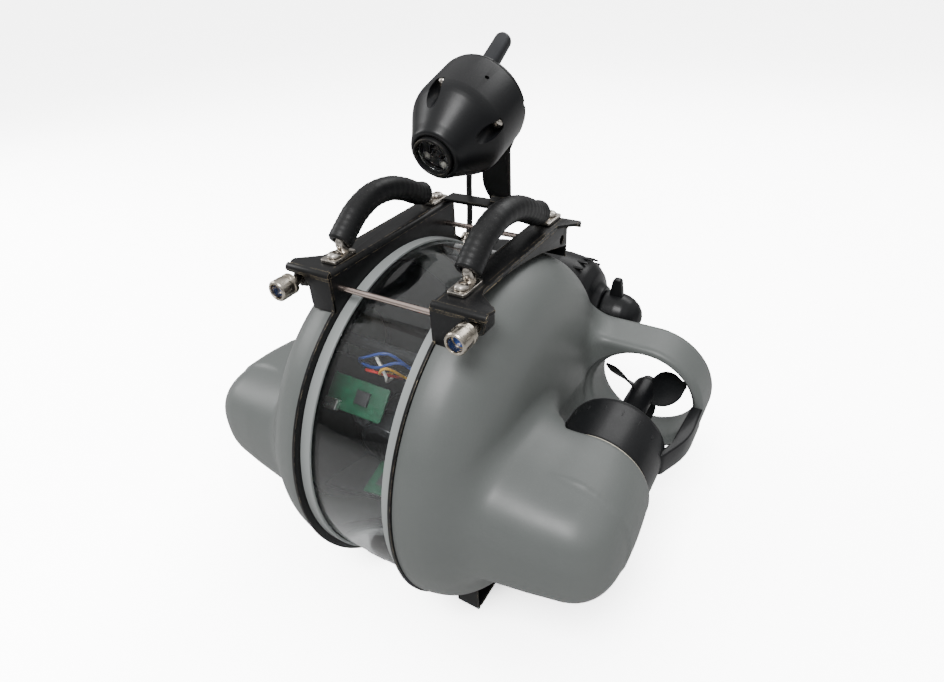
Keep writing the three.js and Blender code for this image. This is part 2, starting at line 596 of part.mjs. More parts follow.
const pinionY = gearSpacing * Math.cos(pinionAngle * deg);
const pinionZ = gearSpacing * Math.sin(pinionAngle * deg);
function pinion() {
  const gear = slabX(gearOutline(pinionTeeth, 0.1), ringGearX, ringGearX + 4);
  const shaft = rod(ringGearX + 3.5, ringGearX + 6.5, 2.5, 12, 'x');
  return fromSolid(union(gear, shaft));
}
const pinionMesh = place('pinion', pinion(), 'nickel');
pinionMesh.position.set(0, pinionY, pinionZ);
const pinionPhase = pinionAngle + 180 + 180 / pinionTeeth + (pinionAngle / (360 / ringTeeth) % 1) * 360 / pinionTeeth;
pinionMesh.rotation.x = pinionPhase * deg;
place('pitch_motor', rod(ringGearX + 7, 69, 11, 20, 'x').translate(0, pinionY, pinionZ), 'darkGrey');

export default vehicle;
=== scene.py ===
import math
import bmesh
import bpy
import numpy as np
from mathutils import Matrix, Vector


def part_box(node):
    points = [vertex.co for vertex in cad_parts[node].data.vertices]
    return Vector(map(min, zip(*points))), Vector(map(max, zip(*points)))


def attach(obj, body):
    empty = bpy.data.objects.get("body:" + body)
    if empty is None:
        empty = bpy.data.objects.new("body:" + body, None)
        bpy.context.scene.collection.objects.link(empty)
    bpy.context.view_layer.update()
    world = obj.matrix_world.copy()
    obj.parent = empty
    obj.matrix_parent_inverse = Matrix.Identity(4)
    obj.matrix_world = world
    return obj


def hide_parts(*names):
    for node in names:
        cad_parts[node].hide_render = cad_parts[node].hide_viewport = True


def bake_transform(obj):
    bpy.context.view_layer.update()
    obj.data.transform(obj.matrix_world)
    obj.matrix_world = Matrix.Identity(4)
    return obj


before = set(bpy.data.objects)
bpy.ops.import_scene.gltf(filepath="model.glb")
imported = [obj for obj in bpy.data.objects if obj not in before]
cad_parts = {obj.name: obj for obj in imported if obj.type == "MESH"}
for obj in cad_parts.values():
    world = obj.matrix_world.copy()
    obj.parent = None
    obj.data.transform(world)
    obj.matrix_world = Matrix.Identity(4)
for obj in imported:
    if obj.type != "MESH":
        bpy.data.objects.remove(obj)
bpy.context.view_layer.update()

windowLow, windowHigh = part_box("window_ring")
hullCentre = (windowLow + windowHigh) / 2   # everything below is drawn in millimetres about this point
mm = 0.001


def row(point):
    return Vector(point) * mm + hullCentre


# camera
view = {"azimuth": 32.8, "elevation": 33.4, "roll": -3.3, "distance": 457.3, "side": -13.9, "rise": -48.3,
        "lens": 23.0}


def makeCamera():
    a, e, r = (math.radians(view[k]) for k in ("azimuth", "elevation", "roll"))
    back = Vector((math.sin(a) * math.cos(e), -math.cos(a) * math.cos(e), math.sin(e)))
    right = Vector((math.cos(a), math.sin(a), 0))
    up = back.cross(right)
    across = right * math.cos(r) + up * math.sin(r)
    upright = up * math.cos(r) - right * math.sin(r)
    place = back * view["distance"] - across * view["side"] - upright * view["rise"]
    data = bpy.data.cameras.new("viewCamera")
    data.lens = view["lens"]
    data.clip_start = 0.01
    camera = bpy.data.objects.new("viewCamera", data)
    turn = Matrix((across, upright, back)).transposed().to_4x4()
    camera.matrix_world = Matrix.Translation(row(place)) @ turn
    bpy.context.scene.collection.objects.link(camera)
    bpy.context.scene.camera = camera


makeCamera()
print("camera ready")


# shader groups shared by the finishes
def groupTree(name, inputs, outputs):
    tree = bpy.data.node_groups.new(name, "ShaderNodeTree")
    for label, value in inputs:
        socket = tree.interface.new_socket(label, in_out="INPUT", socket_type="NodeSocketFloat")
        socket.default_value = value
    for label in outputs:
        tree.interface.new_socket(label, in_out="OUTPUT", socket_type="NodeSocketFloat")
    return tree, tree.nodes.new("NodeGroupInput"), tree.nodes.new("NodeGroupOutput")


def link(tree, source, target):
    tree.links.new(source, target)


def maths(tree, operation, first, second=None, third=None):
    node = tree.nodes.new("ShaderNodeMath")
    node.operation = operation
    for slot, value in zip(node.inputs, (first, second, third)):
        if value is None:
            continue
        if isinstance(value, (int, float)):
            slot.default_value = value
        else:
            link(tree, value, slot)
    return node.outputs[0]


def noise(tree, vector, scale, detail=3.0, roughness=0.55):
    node = tree.nodes.new("ShaderNodeTexNoise")
    for label, value in (("Scale", scale), ("Detail", detail), ("Roughness", roughness)):
        if isinstance(value, (int, float)):
            node.inputs[label].default_value = value
        else:
            link(tree, value, node.inputs[label])
    link(tree, vector, node.inputs["Vector"])
    return node.outputs["Fac"]


def makeGrain():
    # broad shade drift, fine surface grain and a little smudging
    tree, start, end = groupTree("surfaceGrain", [("Drift", 14), ("Grain", 900), ("Smudge", 45)],
                                 ["Shade", "Height", "Smudges"])
    place = tree.nodes.new("ShaderNodeTexCoord").outputs["Object"]
    link(tree, noise(tree, place, start.outputs["Drift"], 4), end.inputs["Shade"])
    coarse = noise(tree, place, maths(tree, "MULTIPLY", start.outputs["Grain"], 0.3), 2)
    fine = noise(tree, place, start.outputs["Grain"], 2)
    link(tree, maths(tree, "ADD", coarse, maths(tree, "MULTIPLY", fine, 0.5)), end.inputs["Height"])
    link(tree, noise(tree, place, start.outputs["Smudge"], 6, 0.7), end.inputs["Smudges"])
    return tree


def makeWear():
    # bright rubbed edges, broken up by noise
    tree, start, end = groupTree("edgeWear", [("Width", 0.0007), ("Amount", 1)], ["Mask"])
    rounded = tree.nodes.new("ShaderNodeBevel")
    rounded.samples = 4
    link(tree, start.outputs["Width"], rounded.inputs["Radius"])
    flat = tree.nodes.new("ShaderNodeNewGeometry")
    compare = tree.nodes.new("ShaderNodeVectorMath")
    compare.operation = "DOT_PRODUCT"
    link(tree, rounded.outputs[0], compare.inputs[0])
    link(tree, flat.outputs["Normal"], compare.inputs[1])
    edge = maths(tree, "MULTIPLY", maths(tree, "SUBTRACT", 1.0, compare.outputs["Value"]), 6.0)
    place = tree.nodes.new("ShaderNodeTexCoord").outputs["Object"]
    patches = maths(tree, "SUBTRACT", noise(tree, place, 160, 5, 0.7), 0.42)
    broken = maths(tree, "MULTIPLY", edge, maths(tree, "MULTIPLY", patches, 5.0))
    node = tree.nodes.new("ShaderNodeClamp")
    link(tree, maths(tree, "MULTIPLY", broken, start.outputs["Amount"]), node.inputs["Value"])
    link(tree, node.outputs[0], end.inputs["Mask"])
    return tree


def makeDust():
    # pale dust that settles on upward faces
    tree, start, end = groupTree("settledDust", [("Amount", 0.1)], ["Mask"])
    geometry = tree.nodes.new("ShaderNodeNewGeometry")
    split = tree.nodes.new("ShaderNodeSeparateXYZ")
    link(tree, geometry.outputs["Normal"], split.inputs[0])
    place = tree.nodes.new("ShaderNodeTexCoord").outputs["Object"]
    specks = noise(tree, place, 900, 6, 0.75)
    upward = maths(tree, "MAXIMUM", split.outputs["Z"], 0.0)
    mask = maths(tree, "MULTIPLY", upward, maths(tree, "SUBTRACT", specks, 0.56))
    node = tree.nodes.new("ShaderNodeClamp")
    link(tree, maths(tree, "MULTIPLY", mask, start.outputs["Amount"]), node.inputs["Value"])
    link(tree, node.outputs[0], end.inputs["Mask"])
    return tree


grainGroup, wearGroup, dustGroup = makeGrain(), makeWear(), makeDust()


def useGroup(tree, group, **values):
    node = tree.nodes.new("ShaderNodeGroup")
    node.node_tree = group
    for label, value in values.items():
        node.inputs[label].default_value = value
    return node.outputs


def mixColour(tree, factor, first, second):
    node = tree.nodes.new("ShaderNodeMix")
    node.data_type = "RGBA"
    colours = [s for s in node.inputs if s.type == "RGBA"]
    for slot, value in ((node.inputs[0], factor), (colours[0], first), (colours[1], second)):
        if isinstance(value, (tuple, list)):
            slot.default_value = (*value, 1)
        elif isinstance(value, (int, float)):
            slot.default_value = value
        else:
            link(tree, value, slot)
    return [s for s in node.outputs if s.type == "RGBA"][0]


def spread(tree, value, low, high):
    node = tree.nodes.new("ShaderNodeMapRange")
    link(tree, value, node.inputs["Value"])
    node.inputs["From Min"].default_value = 0.3
    node.inputs["From Max"].default_value = 0.7
    node.inputs["To Min"].default_value = low
    node.inputs["To Max"].default_value = high
    return node.outputs[0]


def makeFinish(name, colour, second, rough, metallic=0.0, drift=14, grain=900, bump=0.15, wear=0.0,
               wornColour=(0.6, 0.5, 0.34), dust=0.0, coat=0.0, specular=0.5, smudge=45, sheen=0.0):
    material = bpy.data.materials.new(name)
    material.use_nodes = True
    tree = material.node_tree
    shader = tree.nodes["Principled BSDF"]
    surface = useGroup(tree, grainGroup, Drift=drift, Grain=grain, Smudge=smudge)
    base = mixColour(tree, spread(tree, surface["Shade"], 0, 1), colour, second)
    roughness = spread(tree, surface["Smudges"], rough[0], rough[1])
    shader.inputs["Metallic"].default_value = metallic
    if wear:
        worn = useGroup(tree, wearGroup, Amount=wear)["Mask"]
        base = mixColour(tree, worn, base, wornColour)
        link(tree, maths(tree, "MAXIMUM", worn, metallic), shader.inputs["Metallic"])
    if dust:
        base = mixColour(tree, useGroup(tree, dustGroup, Amount=dust)["Mask"], base, (0.62, 0.6, 0.56))
    link(tree, base, shader.inputs["Base Color"])
    link(tree, roughness, shader.inputs["Roughness"])
    shader.inputs["Coat Weight"].default_value = coat
    shader.inputs["Specular IOR Level"].default_value = specular
    shader.inputs["Sheen Weight"].default_value = sheen
    relief = tree.nodes.new("ShaderNodeBump")
    relief.inputs["Strength"].default_value = bump
    relief.inputs["Distance"].default_value = 0.0004
    link(tree, surface["Height"], relief.inputs["Height"])
    link(tree, relief.outputs[0], shader.inputs["Normal"])
    return material


finishes = {
    "shellPaint": dict(colour=(0.118, 0.128, 0.124), second=(0.134, 0.144, 0.139), rough=(0.36, 0.46),
                       drift=11,
                       grain=1100, bump=0.06, dust=0.35, specular=0.5, smudge=22),
    "ringPaint": dict(colour=(0.30, 0.32, 0.315), second=(0.34, 0.36, 0.355), rough=(0.28, 0.4), bump=0.05,
                      dust=0.3),
    "anodisedSheet": dict(colour=(0.006, 0.0062, 0.0066), second=(0.009, 0.0092, 0.0098), rough=(0.3, 0.4),
                          drift=18, grain=3600, bump=0.04, wear=0.55, dust=0.3, specular=0.28),
    "blackAcetal": dict(colour=(0.006, 0.0063, 0.0072), second=(0.0085, 0.009, 0.0102), rough=(0.3, 0.38),
                        drift=16,
                        grain=3800, bump=0.04, dust=0.2, smudge=40, specular=0.3),
    "sleeveRubber": dict(colour=(0.0065, 0.0068, 0.0072), second=(0.0105, 0.0108, 0.0115),
                         rough=(0.36, 0.5), drift=40,
                         grain=2600, bump=0.12, dust=0.5, smudge=70, specular=0.3),
    "sealRubber": dict(colour=(0.009, 0.009, 0.0095), second=(0.017, 0.017, 0.018), rough=(0.5, 0.65),
                       bump=0.2),
    "stainless": dict(colour=(0.52, 0.48, 0.43), second=(0.62, 0.58, 0.53), rough=(0.17, 0.34),
                      metallic=1.0, drift=80,
                      grain=2200, bump=0.12, smudge=150),
    "rosyStainless": dict(colour=(0.56, 0.45, 0.4), second=(0.66, 0.55, 0.5), rough=(0.18, 0.3),
                          metallic=1.0,
                          drift=80, grain=2200, bump=0.12),
    "nickelPlate": dict(colour=(0.36, 0.32, 0.26), second=(0.52, 0.48, 0.42), rough=(0.14, 0.34),
                        metallic=1.0,
                        drift=120, grain=1800, bump=0.15, smudge=220),
    "lampWhite": dict(colour=(0.55, 0.53, 0.46), second=(0.62, 0.6, 0.54), rough=(0.3, 0.42), bump=0.1),
    "copperRotor": dict(colour=(0.42, 0.2, 0.1), second=(0.5, 0.27, 0.15), rough=(0.25, 0.4), metallic=1.0,
                        bump=0.2),
    "motorCan": dict(colour=(0.05, 0.052, 0.056), second=(0.08, 0.082, 0.086), rough=(0.32, 0.45),
                     metallic=0.8),
    "cradleSheet": dict(colour=(0.006, 0.0065, 0.007), second=(0.009, 0.0095, 0.0105), rough=(0.45, 0.6),
                        drift=24,
                        bump=0.02, specular=0.25),
    "drumGrey": dict(colour=(0.06, 0.065, 0.07), second=(0.1, 0.105, 0.11), rough=(0.16, 0.3), drift=30,
                     coat=0.4),
    "boardGreen": dict(colour=(0.003, 0.04, 0.018), second=(0.005, 0.07, 0.032), rough=(0.25, 0.4),
                       drift=240,
                       grain=1500, bump=0.6, coat=0.3),
    "chipBlack": dict(colour=(0.012, 0.012, 0.013), second=(0.03, 0.03, 0.032), rough=(0.3, 0.5), bump=0.2),
    "tinPlate": dict(colour=(0.6, 0.6, 0.58), second=(0.75, 0.75, 0.73), rough=(0.2, 0.35), metallic=1.0,
                     bump=0.15),
    "cellWrap": dict(colour=(0.012, 0.06, 0.34), second=(0.02, 0.11, 0.48), rough=(0.14, 0.3), drift=40,
                     bump=0.35,
                     coat=0.5),
    "cellTape": dict(colour=(0.5, 0.48, 0.42), second=(0.6, 0.58, 0.52), rough=(0.35, 0.5), bump=0.3),
    "wireBlue": dict(colour=(0.006, 0.025, 0.13), second=(0.01, 0.035, 0.18), rough=(0.3, 0.4)),
    "wireRed": dict(colour=(0.35, 0.012, 0.01), second=(0.45, 0.02, 0.015), rough=(0.3, 0.4)),
    "wireYellow": dict(colour=(0.4, 0.2, 0.02), second=(0.46, 0.26, 0.03), rough=(0.3, 0.4)),
    "wireWhite": dict(colour=(0.6, 0.58, 0.54), second=(0.68, 0.66, 0.62), rough=(0.3, 0.4)),
    # pale colour of the ring at each motor opening, a painted reflection of the surroundings on the black
    # motor housing
    "paintedReflection": dict(colour=(0.52, 0.48, 0.38), second=(0.62, 0.58, 0.48), rough=(0.35, 0.5), bump=0.2),
}
stock = {name: makeFinish(name, **values) for name, values in finishes.items()}


def makeGlass(name, tint, roughness, ior):
    material = bpy.data.materials.new(name)
    material.use_nodes = True
    tree = material.node_tree
    shader = tree.nodes["Principled BSDF"]
    surface = useGroup(tree, grainGroup, Drift=20, Grain=500, Smudge=30)
    link(tree, mixColour(tree, spread(tree, surface["Shade"], 0, 1), tint, tuple(c * 0.97 for c in tint)),
         shader.inputs["Base Color"])
    link(tree, spread(tree, surface["Smudges"], roughness, roughness * 3), shader.inputs["Roughness"])
    shader.inputs["Transmission Weight"].default_value = 1.0
    shader.inputs["IOR"].default_value = ior
    shader.inputs["Specular IOR Level"].default_value = 0.3
    through = tree.nodes.new("ShaderNodeBsdfTransparent")
    blend = tree.nodes.new("ShaderNodeMixShader")
    link(tree, tree.nodes.new("ShaderNodeLightPath").outputs["Is Shadow Ray"], blend.inputs[0])
    link(tree, shader.outputs[0], blend.inputs[1])
    link(tree, through.outputs[0], blend.inputs[2])
    link(tree, blend.outputs[0], tree.nodes["Material Output"].inputs["Surface"])
    return material


stock["clearAcrylic"] = makeGlass("clearAcrylic", (0.93, 0.96, 0.96), 0.012, 1.49)
stock["cameraGlass"] = makeGlass("cameraGlass", (0.95, 0.97, 0.98), 0.01, 1.45)
print("finishes ready:", len(stock))


# mesh helpers, all in millimetres about the hull centre
def newPiece(name, points, faces, finish, sharp=35.0):
    mesh = bpy.data.meshes.new(name)
    mesh.from_pydata([tuple(p) for p in points], [], [tuple(f) for f in faces])
    return finishMesh(name, mesh, finish, sharp)


def shade(mesh, sharp):
    mesh.polygons.foreach_set("use_smooth", [True] * len(mesh.polygons))
    mesh.set_sharp_from_angle(angle=math.radians(sharp))
    mesh.update()


def finishMesh(name, mesh, finish, sharp=35.0):
    work = bmesh.new()
    work.from_mesh(mesh)
    bmesh.ops.remove_doubles(work, verts=work.verts, dist=1e-4)
    bmesh.ops.recalc_face_normals(work, faces=work.faces)
    work.to_mesh(mesh)
    work.free()
    shade(mesh, sharp)
    mesh.materials.clear()
    mesh.materials.append(stock[finish])
    piece = bpy.data.objects.new(name, mesh)
    bpy.context.scene.collection.objects.link(piece)
    return piece


def move(piece, x=0.0, y=0.0, z=0.0):
    piece.data.transform(Matrix.Translation((x, y, z)))
    return piece


def turn(piece, degrees, axis):
    piece.data.transform(Matrix.Rotation(math.radians(degrees), 4, axis))
    return piece


def flipped(piece, name):
    # the same piece for the other side of the hull
    mesh = piece.data.copy()
    mesh.transform(Matrix.Diagonal((-1, 1, 1, 1)))
    mesh.flip_normals()
    mesh.name = name
    other = bpy.data.objects.new(name, mesh)
    bpy.context.scene.collection.objects.link(other)
    return other


def joined(name, pieces, finish=None, sharp=35.0):
    mesh = bpy.data.meshes.new(name)
    work = bmesh.new()
    used = []
    for piece in pieces:
        offset = len(used)
        used += list(piece.data.materials)
        first = len(work.faces)
        work.from_mesh(piece.data)
        work.faces.ensure_lookup_table()
        for face in work.faces[first:]:
            face.material_index += offset
    work.to_mesh(mesh)
    work.free()
    if finish:
        used = [stock[finish]]
        mesh.polygons.foreach_set("material_index", [0] * len(mesh.polygons))
    else:
        unique = list(dict.fromkeys(used))
        index = [unique.index(used[p.material_index]) for p in mesh.polygons]
        mesh.polygons.foreach_set("material_index", index)
        used = unique
    for material in used:
        mesh.materials.append(material)
    for piece in pieces:
        bpy.data.objects.remove(piece)
    result = bpy.data.objects.new(name, mesh)
    bpy.context.scene.collection.objects.link(result)
    shade(mesh, sharp)
    return result


def carve(piece, tool, operation="DIFFERENCE", sharp=35.0):
    change = piece.modifiers.new("carve", "BOOLEAN")
    change.object = tool
    change.operation = operation
    change.solver = "MANIFOLD"
    shaped = bpy.data.meshes.new_from_object(piece.evaluated_get(bpy.context.evaluated_depsgraph_get()))
    piece.modifiers.clear()
    piece.data = shaped
    bpy.data.objects.remove(tool)
    shade(shaped, sharp)
    return piece


def settle(piece, body, *nodes, slot=None):
    # from hull millimetres to the shared frame, then onto its body
    piece.data.transform(Matrix.Translation(hullCentre) @ Matrix.Scale(mm, 4))
    piece.data.update()
    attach(piece, body)
    if nodes:
        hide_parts(*nodes)
    return piece


def settlePair(piece, label, node, slot=None, bodies=("hull", "hull")):
    # the piece stands for the port node, and its mirror image for the starboard one
    other = flipped(piece, "starboard_" + label)
    settle(piece, bodies[0], "port_" + node, slot=slot)
    settle(other, bodies[1], "starboard_" + node, slot=slot)


def eased(points, radius, steps=4):
    # an open profile with its inner corners rounded
    result = [Vector(points[0])]
    for before, corner, after in zip(points, points[1:], points[2:]):
        before, corner, after = Vector(before), Vector(corner), Vector(after)
        first = min(radius, (before - corner).length * 0.45)
        last = min(radius, (after - corner).length * 0.45)
        start = corner + (before - corner).normalized() * first
        stop = corner + (after - corner).normalized() * last
        for i in range(steps + 1):
            t = i / steps
            result.append(start * (1 - t) ** 2 + corner * 2 * t * (1 - t) + stop * t * t)
    result.append(Vector(points[-1]))
    return result


def turned(name, profile, finish, axis="X", segments=96, loop=False, ease=0.0, sharp=35.0):
    # profile of [distance along the axis, radius]
    outline = [Vector(p) for p in profile]
    if ease:
        if loop:
            middle = (outline[0] + outline[-1]) / 2
            outline = eased([middle, *outline, middle], ease)[1:-1]
        else:
            outline = eased(outline, ease)
    points, faces = [], []
    for along, radius in outline:
        for i in range(segments):
            a = 2 * math.pi * i / segments
            points.append((along, radius * math.cos(a), radius * math.sin(a)))
    count = len(outline)
    for k in range(count if loop else count - 1):
        a, b = k * segments, (k + 1) % count * segments
        for i in range(segments):
            j = (i + 1) % segments
            faces.append((a + i, a + j, b + j, b + i))
    if not loop:
        for k in (0, count - 1):
            if outline[k][1] > 1e-4:
                faces.append(tuple(k * segments + i for i in range(segments)))
    piece = newPiece(name, points, faces, finish, sharp)
    if axis == "Y":
        turn(piece, 90, "Z")
    if axis == "Z":
        turn(piece, -90, "Y")
    return piece


def smoothRun(points, steps):
    # Catmull-Rom curve through the points
    run = [Vector(p) for p in points]
    run = [run[0] * 2 - run[1], *run, run[-1] * 2 - run[-2]]
    result = []
    for a, b, c, d in zip(run, run[1:], run[2:], run[3:]):
        for i in range(steps):
            t = i / steps
            result.append(0.5 * (2 * b + (c - a) * t + (2 * a - 5 * b + 4 * c - d) * t * t
                                 + (3 * b - a - 3 * c + d) * t ** 3))
    result.append(run[-2])
    return result


def swept(name, run, radii, finish, segments=16, inner=None, sharp=40.0):
    # round section carried along a run of points; inner gives a bore
    count = len(run)
    side = Vector((1, 0, 0))
    frames = []
    for i, point in enumerate(run):
        ahead = (run[min(i + 1, count - 1)] - run[max(i - 1, 0)]).normalized()
        side = (side - ahead * side.dot(ahead)).normalized()
        frames.append((point, side.copy(), ahead.cross(side)))
    rings = [(f, r) for f, r in zip(frames, radii)]
    if inner:
        rings += [(f, inner) for f in reversed(frames)]
    points, faces = [], []
    for (point, across, over), radius in rings:
        for i in range(segments):
            a = 2 * math.pi * i / segments
            points.append(point + (across * math.cos(a) + over * math.sin(a)) * radius)
    total = len(rings)
    for k in range(total if inner else total - 1):
        a, b = k * segments, (k + 1) % total * segments
        for i in range(segments):
            j = (i + 1) % segments
            faces.append((a + i, a + j, b + j, b + i))
    if not inner:
        faces.append(tuple(range(segments)))
        faces.append(tuple((total - 1) * segments + i for i in range(segments)))
    return newPiece(name, points, faces, finish, sharp)


def roundedOutline(points, radius, steps=4):
    if not radius:
        return [Vector(p) for p in points]
    radii = radius if isinstance(radius, (list, tuple)) else [radius] * len(points)
    result = []
    for i, corner in enumerate(points):
        before, corner, after = Vector(points[i - 1]), Vector(corner), Vector(points[(i + 1) % len(points)])
        if not radii[i]:
            result.append(corner)
            continue
        first = min(radii[i], (before - corner).length * 0.49)
        last = min(radii[i], (after - corner).length * 0.49)
        start = corner + (before - corner).normalized() * first
        stop = corner + (after - corner).normalized() * last
        for k in range(steps + 1):
            t = k / steps
            result.append(start * (1 - t) ** 2 + corner * 2 * t * (1 - t) + stop * t * t)
    return result


def circle(a, b, radius, count=32):
    return [Vector((a + radius * math.cos(2 * math.pi * i / count),
                    b + radius * math.sin(2 * math.pi * i / count)))
            for i in range(count)]


def cutSheet(name, outline, low, high, finish, plane="Z", holes=(), corner=0.0, edge=0.3):
    # flat piece between two levels with softened edges; outline in the two other axes
    curve = bpy.data.curves.new(name, "CURVE")
    curve.dimensions = "2D"
    curve.fill_mode = "BOTH"
    curve.extrude = (high - low) / 2 - edge
    curve.bevel_depth = edge
    curve.bevel_resolution = 2
    curve.offset = -edge
    for loop in (roundedOutline(outline, corner), *holes):
        spline = curve.splines.new("POLY")
        spline.points.add(len(loop) - 1)
        for point, (a, b) in zip(spline.points, loop):
            point.co = (a, b, 0, 1)
        spline.use_cyclic_u = True
    drawn = bpy.data.objects.new(name, curve)
    bpy.context.scene.collection.objects.link(drawn)
    mesh = bpy.data.meshes.new_from_object(drawn.evaluated_get(bpy.context.evaluated_depsgraph_get()))
    bpy.data.objects.remove(drawn)
    piece = finishMesh(name, mesh, finish, 30)
    middle = (low + high) / 2
    if plane == "X":      # outline is y, z
        piece.data.transform(Matrix(((0, 0, 1, middle), (1, 0, 0, 0), (0, 1, 0, 0), (0, 0, 0, 1))))
    elif plane == "Y":    # outline is x, z
        piece.data.transform(Matrix(((1, 0, 0, 0), (0, 0, -1, middle), (0, 1, 0, 0), (0, 0, 0, 1))))
    else:
        move(piece, z=middle)
    return piece


def rectangle(a0, a1, b0, b1):
    return [(a0, b0), (a1, b0), (a1, b1), (a0, b1)]


def block(name, x0, x1, y0, y1, z0, z1, finish, corner=0.8, edge=0.4):
    return cutSheet(name, rectangle(x0, x1, y0, y1), z0, z1, finish, "Z", corner=corner, edge=edge)


# repeats
def repeatTree(name, around):
    tree = bpy.data.node_groups.new(name, "GeometryNodeTree")
    face = tree.interface
    face.new_socket("Geometry", in_out="INPUT", socket_type="NodeSocketGeometry")
    for label, kind, value in (("Count", "NodeSocketInt", 6), ("Radius", "NodeSocketFloat", 1.0),
                               ("Step", "NodeSocketVector", (0, 0, 1))):
        face.new_socket(label, in_out="INPUT", socket_type=kind).default_value = value
    face.new_socket("Finish", in_out="INPUT", socket_type="NodeSocketMaterial")
    face.new_socket("Geometry", in_out="OUTPUT", socket_type="NodeSocketGeometry")
    start, end = tree.nodes.new("NodeGroupInput"), tree.nodes.new("NodeGroupOutput")
    spots = tree.nodes.new("GeometryNodeMeshCircle" if around else "GeometryNodeMeshLine")
    copies = tree.nodes.new("GeometryNodeInstanceOnPoints")
    if around:
        link(tree, start.outputs["Count"], spots.inputs["Vertices"])
        link(tree, start.outputs["Radius"], spots.inputs["Radius"])
        index = tree.nodes.new("GeometryNodeInputIndex").outputs[0]
        share = maths(tree, "DIVIDE", maths(tree, "MULTIPLY", index, 2 * math.pi), start.outputs["Count"])
        spin = tree.nodes.new("ShaderNodeCombineXYZ")
        link(tree, share, spin.inputs["Z"])
        link(tree, spin.outputs[0], copies.inputs["Rotation"])
    else:
        link(tree, start.outputs["Count"], spots.inputs["Count"])
        link(tree, start.outputs["Step"], spots.inputs["Offset"])
    real = tree.nodes.new("GeometryNodeRealizeInstances")
    paint = tree.nodes.new("GeometryNodeSetMaterial")
    link(tree, spots.outputs["Mesh"], copies.inputs["Points"])
    link(tree, start.outputs["Geometry"], copies.inputs["Instance"])
    link(tree, copies.outputs[0], real.inputs[0])
    link(tree, real.outputs[0], paint.inputs["Geometry"])
    link(tree, start.outputs["Finish"], paint.inputs["Material"])
    link(tree, paint.outputs[0], end.inputs[0])
    return tree


roundTree, lineTree = repeatTree("copiesRound", True), repeatTree("copiesInLine", False)


def repeated(piece, count, radius=None, step=(0, 0, 1)):
    # copies round the Z axis at a radius, or in a line by a step; the piece lies about the origin
    tree = lineTree if radius is None else roundTree
    change = piece.modifiers.new("repeat", "NODES")
    change.node_group = tree
    values = {"Count": count, "Radius": radius or 0.0, "Step": step, "Finish": piece.data.materials[0]}
    for item in tree.interface.items_tree:
        if item.in_out == "INPUT" and item.name in values:
            change[item.identifier] = values[item.name]
    mesh = bpy.data.meshes.new_from_object(piece.evaluated_get(bpy.context.evaluated_depsgraph_get()))
    piece.modifiers.clear()
    piece.data = mesh
    shade(mesh, 35)
    return piece


# cast half shells, shaped from blended distances
shell = {
    "seam": 38.3, "step": 1.9, "fillet": 12.0, "podRound": 28.0, "podSquare": 2.7,
    "dome": [[38.3, 125], [46, 124.2], [56, 121], [65, 114.5], [72, 105], [76.5, 92], [79, 74], [80, 40],
             [80, 0]],
    "inside": [[20, 0], [20, 118.5], [46, 118], [60, 107.5], [69, 92], [73.5, 70], [74.5, 0]],
    "pod": [[50, -46, -3, 62, 54], [84, -50, -4, 56, 46], [110, -52.5, -4, 50.5, 41],
            [134, -54, -4, 45, 37],
            [158, -56, -4, 39.5, 32]],
    "thruster": (119.5, -2.0), "ductRadius": 46.0, "ductFront": 72.0, "ductBack": 108.0, "ductEdge": 5.0,
}


def smoothMin(a, b, size):
    blend = np.maximum(size - np.abs(a - b), 0) / size
    return np.minimum(a, b) - blend * blend * size / 4


def smoothMax(a, b, size):
    return -smoothMin(-a, -b, size)


def domeTable():
    # signed distance to the turned hull profile over x and radius
    knots = [Vector((x, r)) for x, r in shell["dome"]]
    run = smoothRun([(20, 125.4, 0)] + [(k[0], k[1], 0) for k in knots], 10)
    line = np.array([[p[0], p[1]] for p in run])
    line = np.vstack([line, [line[-1][0], -30]])
    xs, rs = np.arange(10, 180, 1.0), np.arange(0, 200, 1.0)
    grid = np.stack(np.meshgrid(xs, rs, indexing="ij"), -1)
    best = np.full(grid.shape[:2], 1e9)
    sign = np.ones(grid.shape[:2])
    for a, b in zip(line, line[1:]):
        along = b - a
        if along @ along < 1e-9:
            continue
        t = np.clip(((grid - a) @ along) / (along @ along), 0, 1)
        away = grid - (a + t[..., None] * along)
        distance = np.hypot(away[..., 0], away[..., 1])
        side = along[0] * (grid[..., 1] - a[1]) - along[1] * (grid[..., 0] - a[0])
        closer = distance < best
        best = np.where(closer, distance, best)
        sign = np.where(closer, np.where(side > 0, 1, -1), sign)
    return best * sign


hullTable = domeTable()


def domeDistance(x, y, z):
    u = np.clip(x - 10, 0, 168.999)
    v = np.clip(np.hypot(y, z), 0, 198.999)
    i, j = u.astype(int), v.astype(int)
    s, t = u - i, v - j
    table = hullTable
    low = table[i, j] * (1 - t) + table[i, j + 1] * t
    high = table[i + 1, j] * (1 - t) + table[i + 1, j + 1] * t
    return low * (1 - s) + high * s


def podDistance(x, y, z):
    stations = np.array(shell["pod"], float)
    cy, cz, a, b = (np.interp(x, stations[:, 0], stations[:, k]) for k in (1, 2, 3, 4))
    power = shell["podSquare"]
    reach = (np.abs((y - cy) / a) ** power + np.abs((z - cz) / b) ** power) ** (1 / power)
    return smoothMax((reach - 1) * b, x - 157.0, shell["podRound"])


def shroudDistance(x, y, z):
    tx, tz = shell["thruster"]
    edge = shell["ductEdge"]
    nearest = np.clip(x, 40, tx)
    flat = np.hypot(x - nearest, z - tz) - shell["ductRadius"] + edge
    middle = (shell["ductFront"] + shell["ductBack"]) / 2
    half = (shell["ductBack"] - shell["ductFront"]) / 2 - edge
    deep = np.abs(y - middle) - half
    return np.minimum(np.maximum(flat, deep), 0) + np.hypot(np.maximum(flat, 0), np.maximum(deep, 0)) - edge


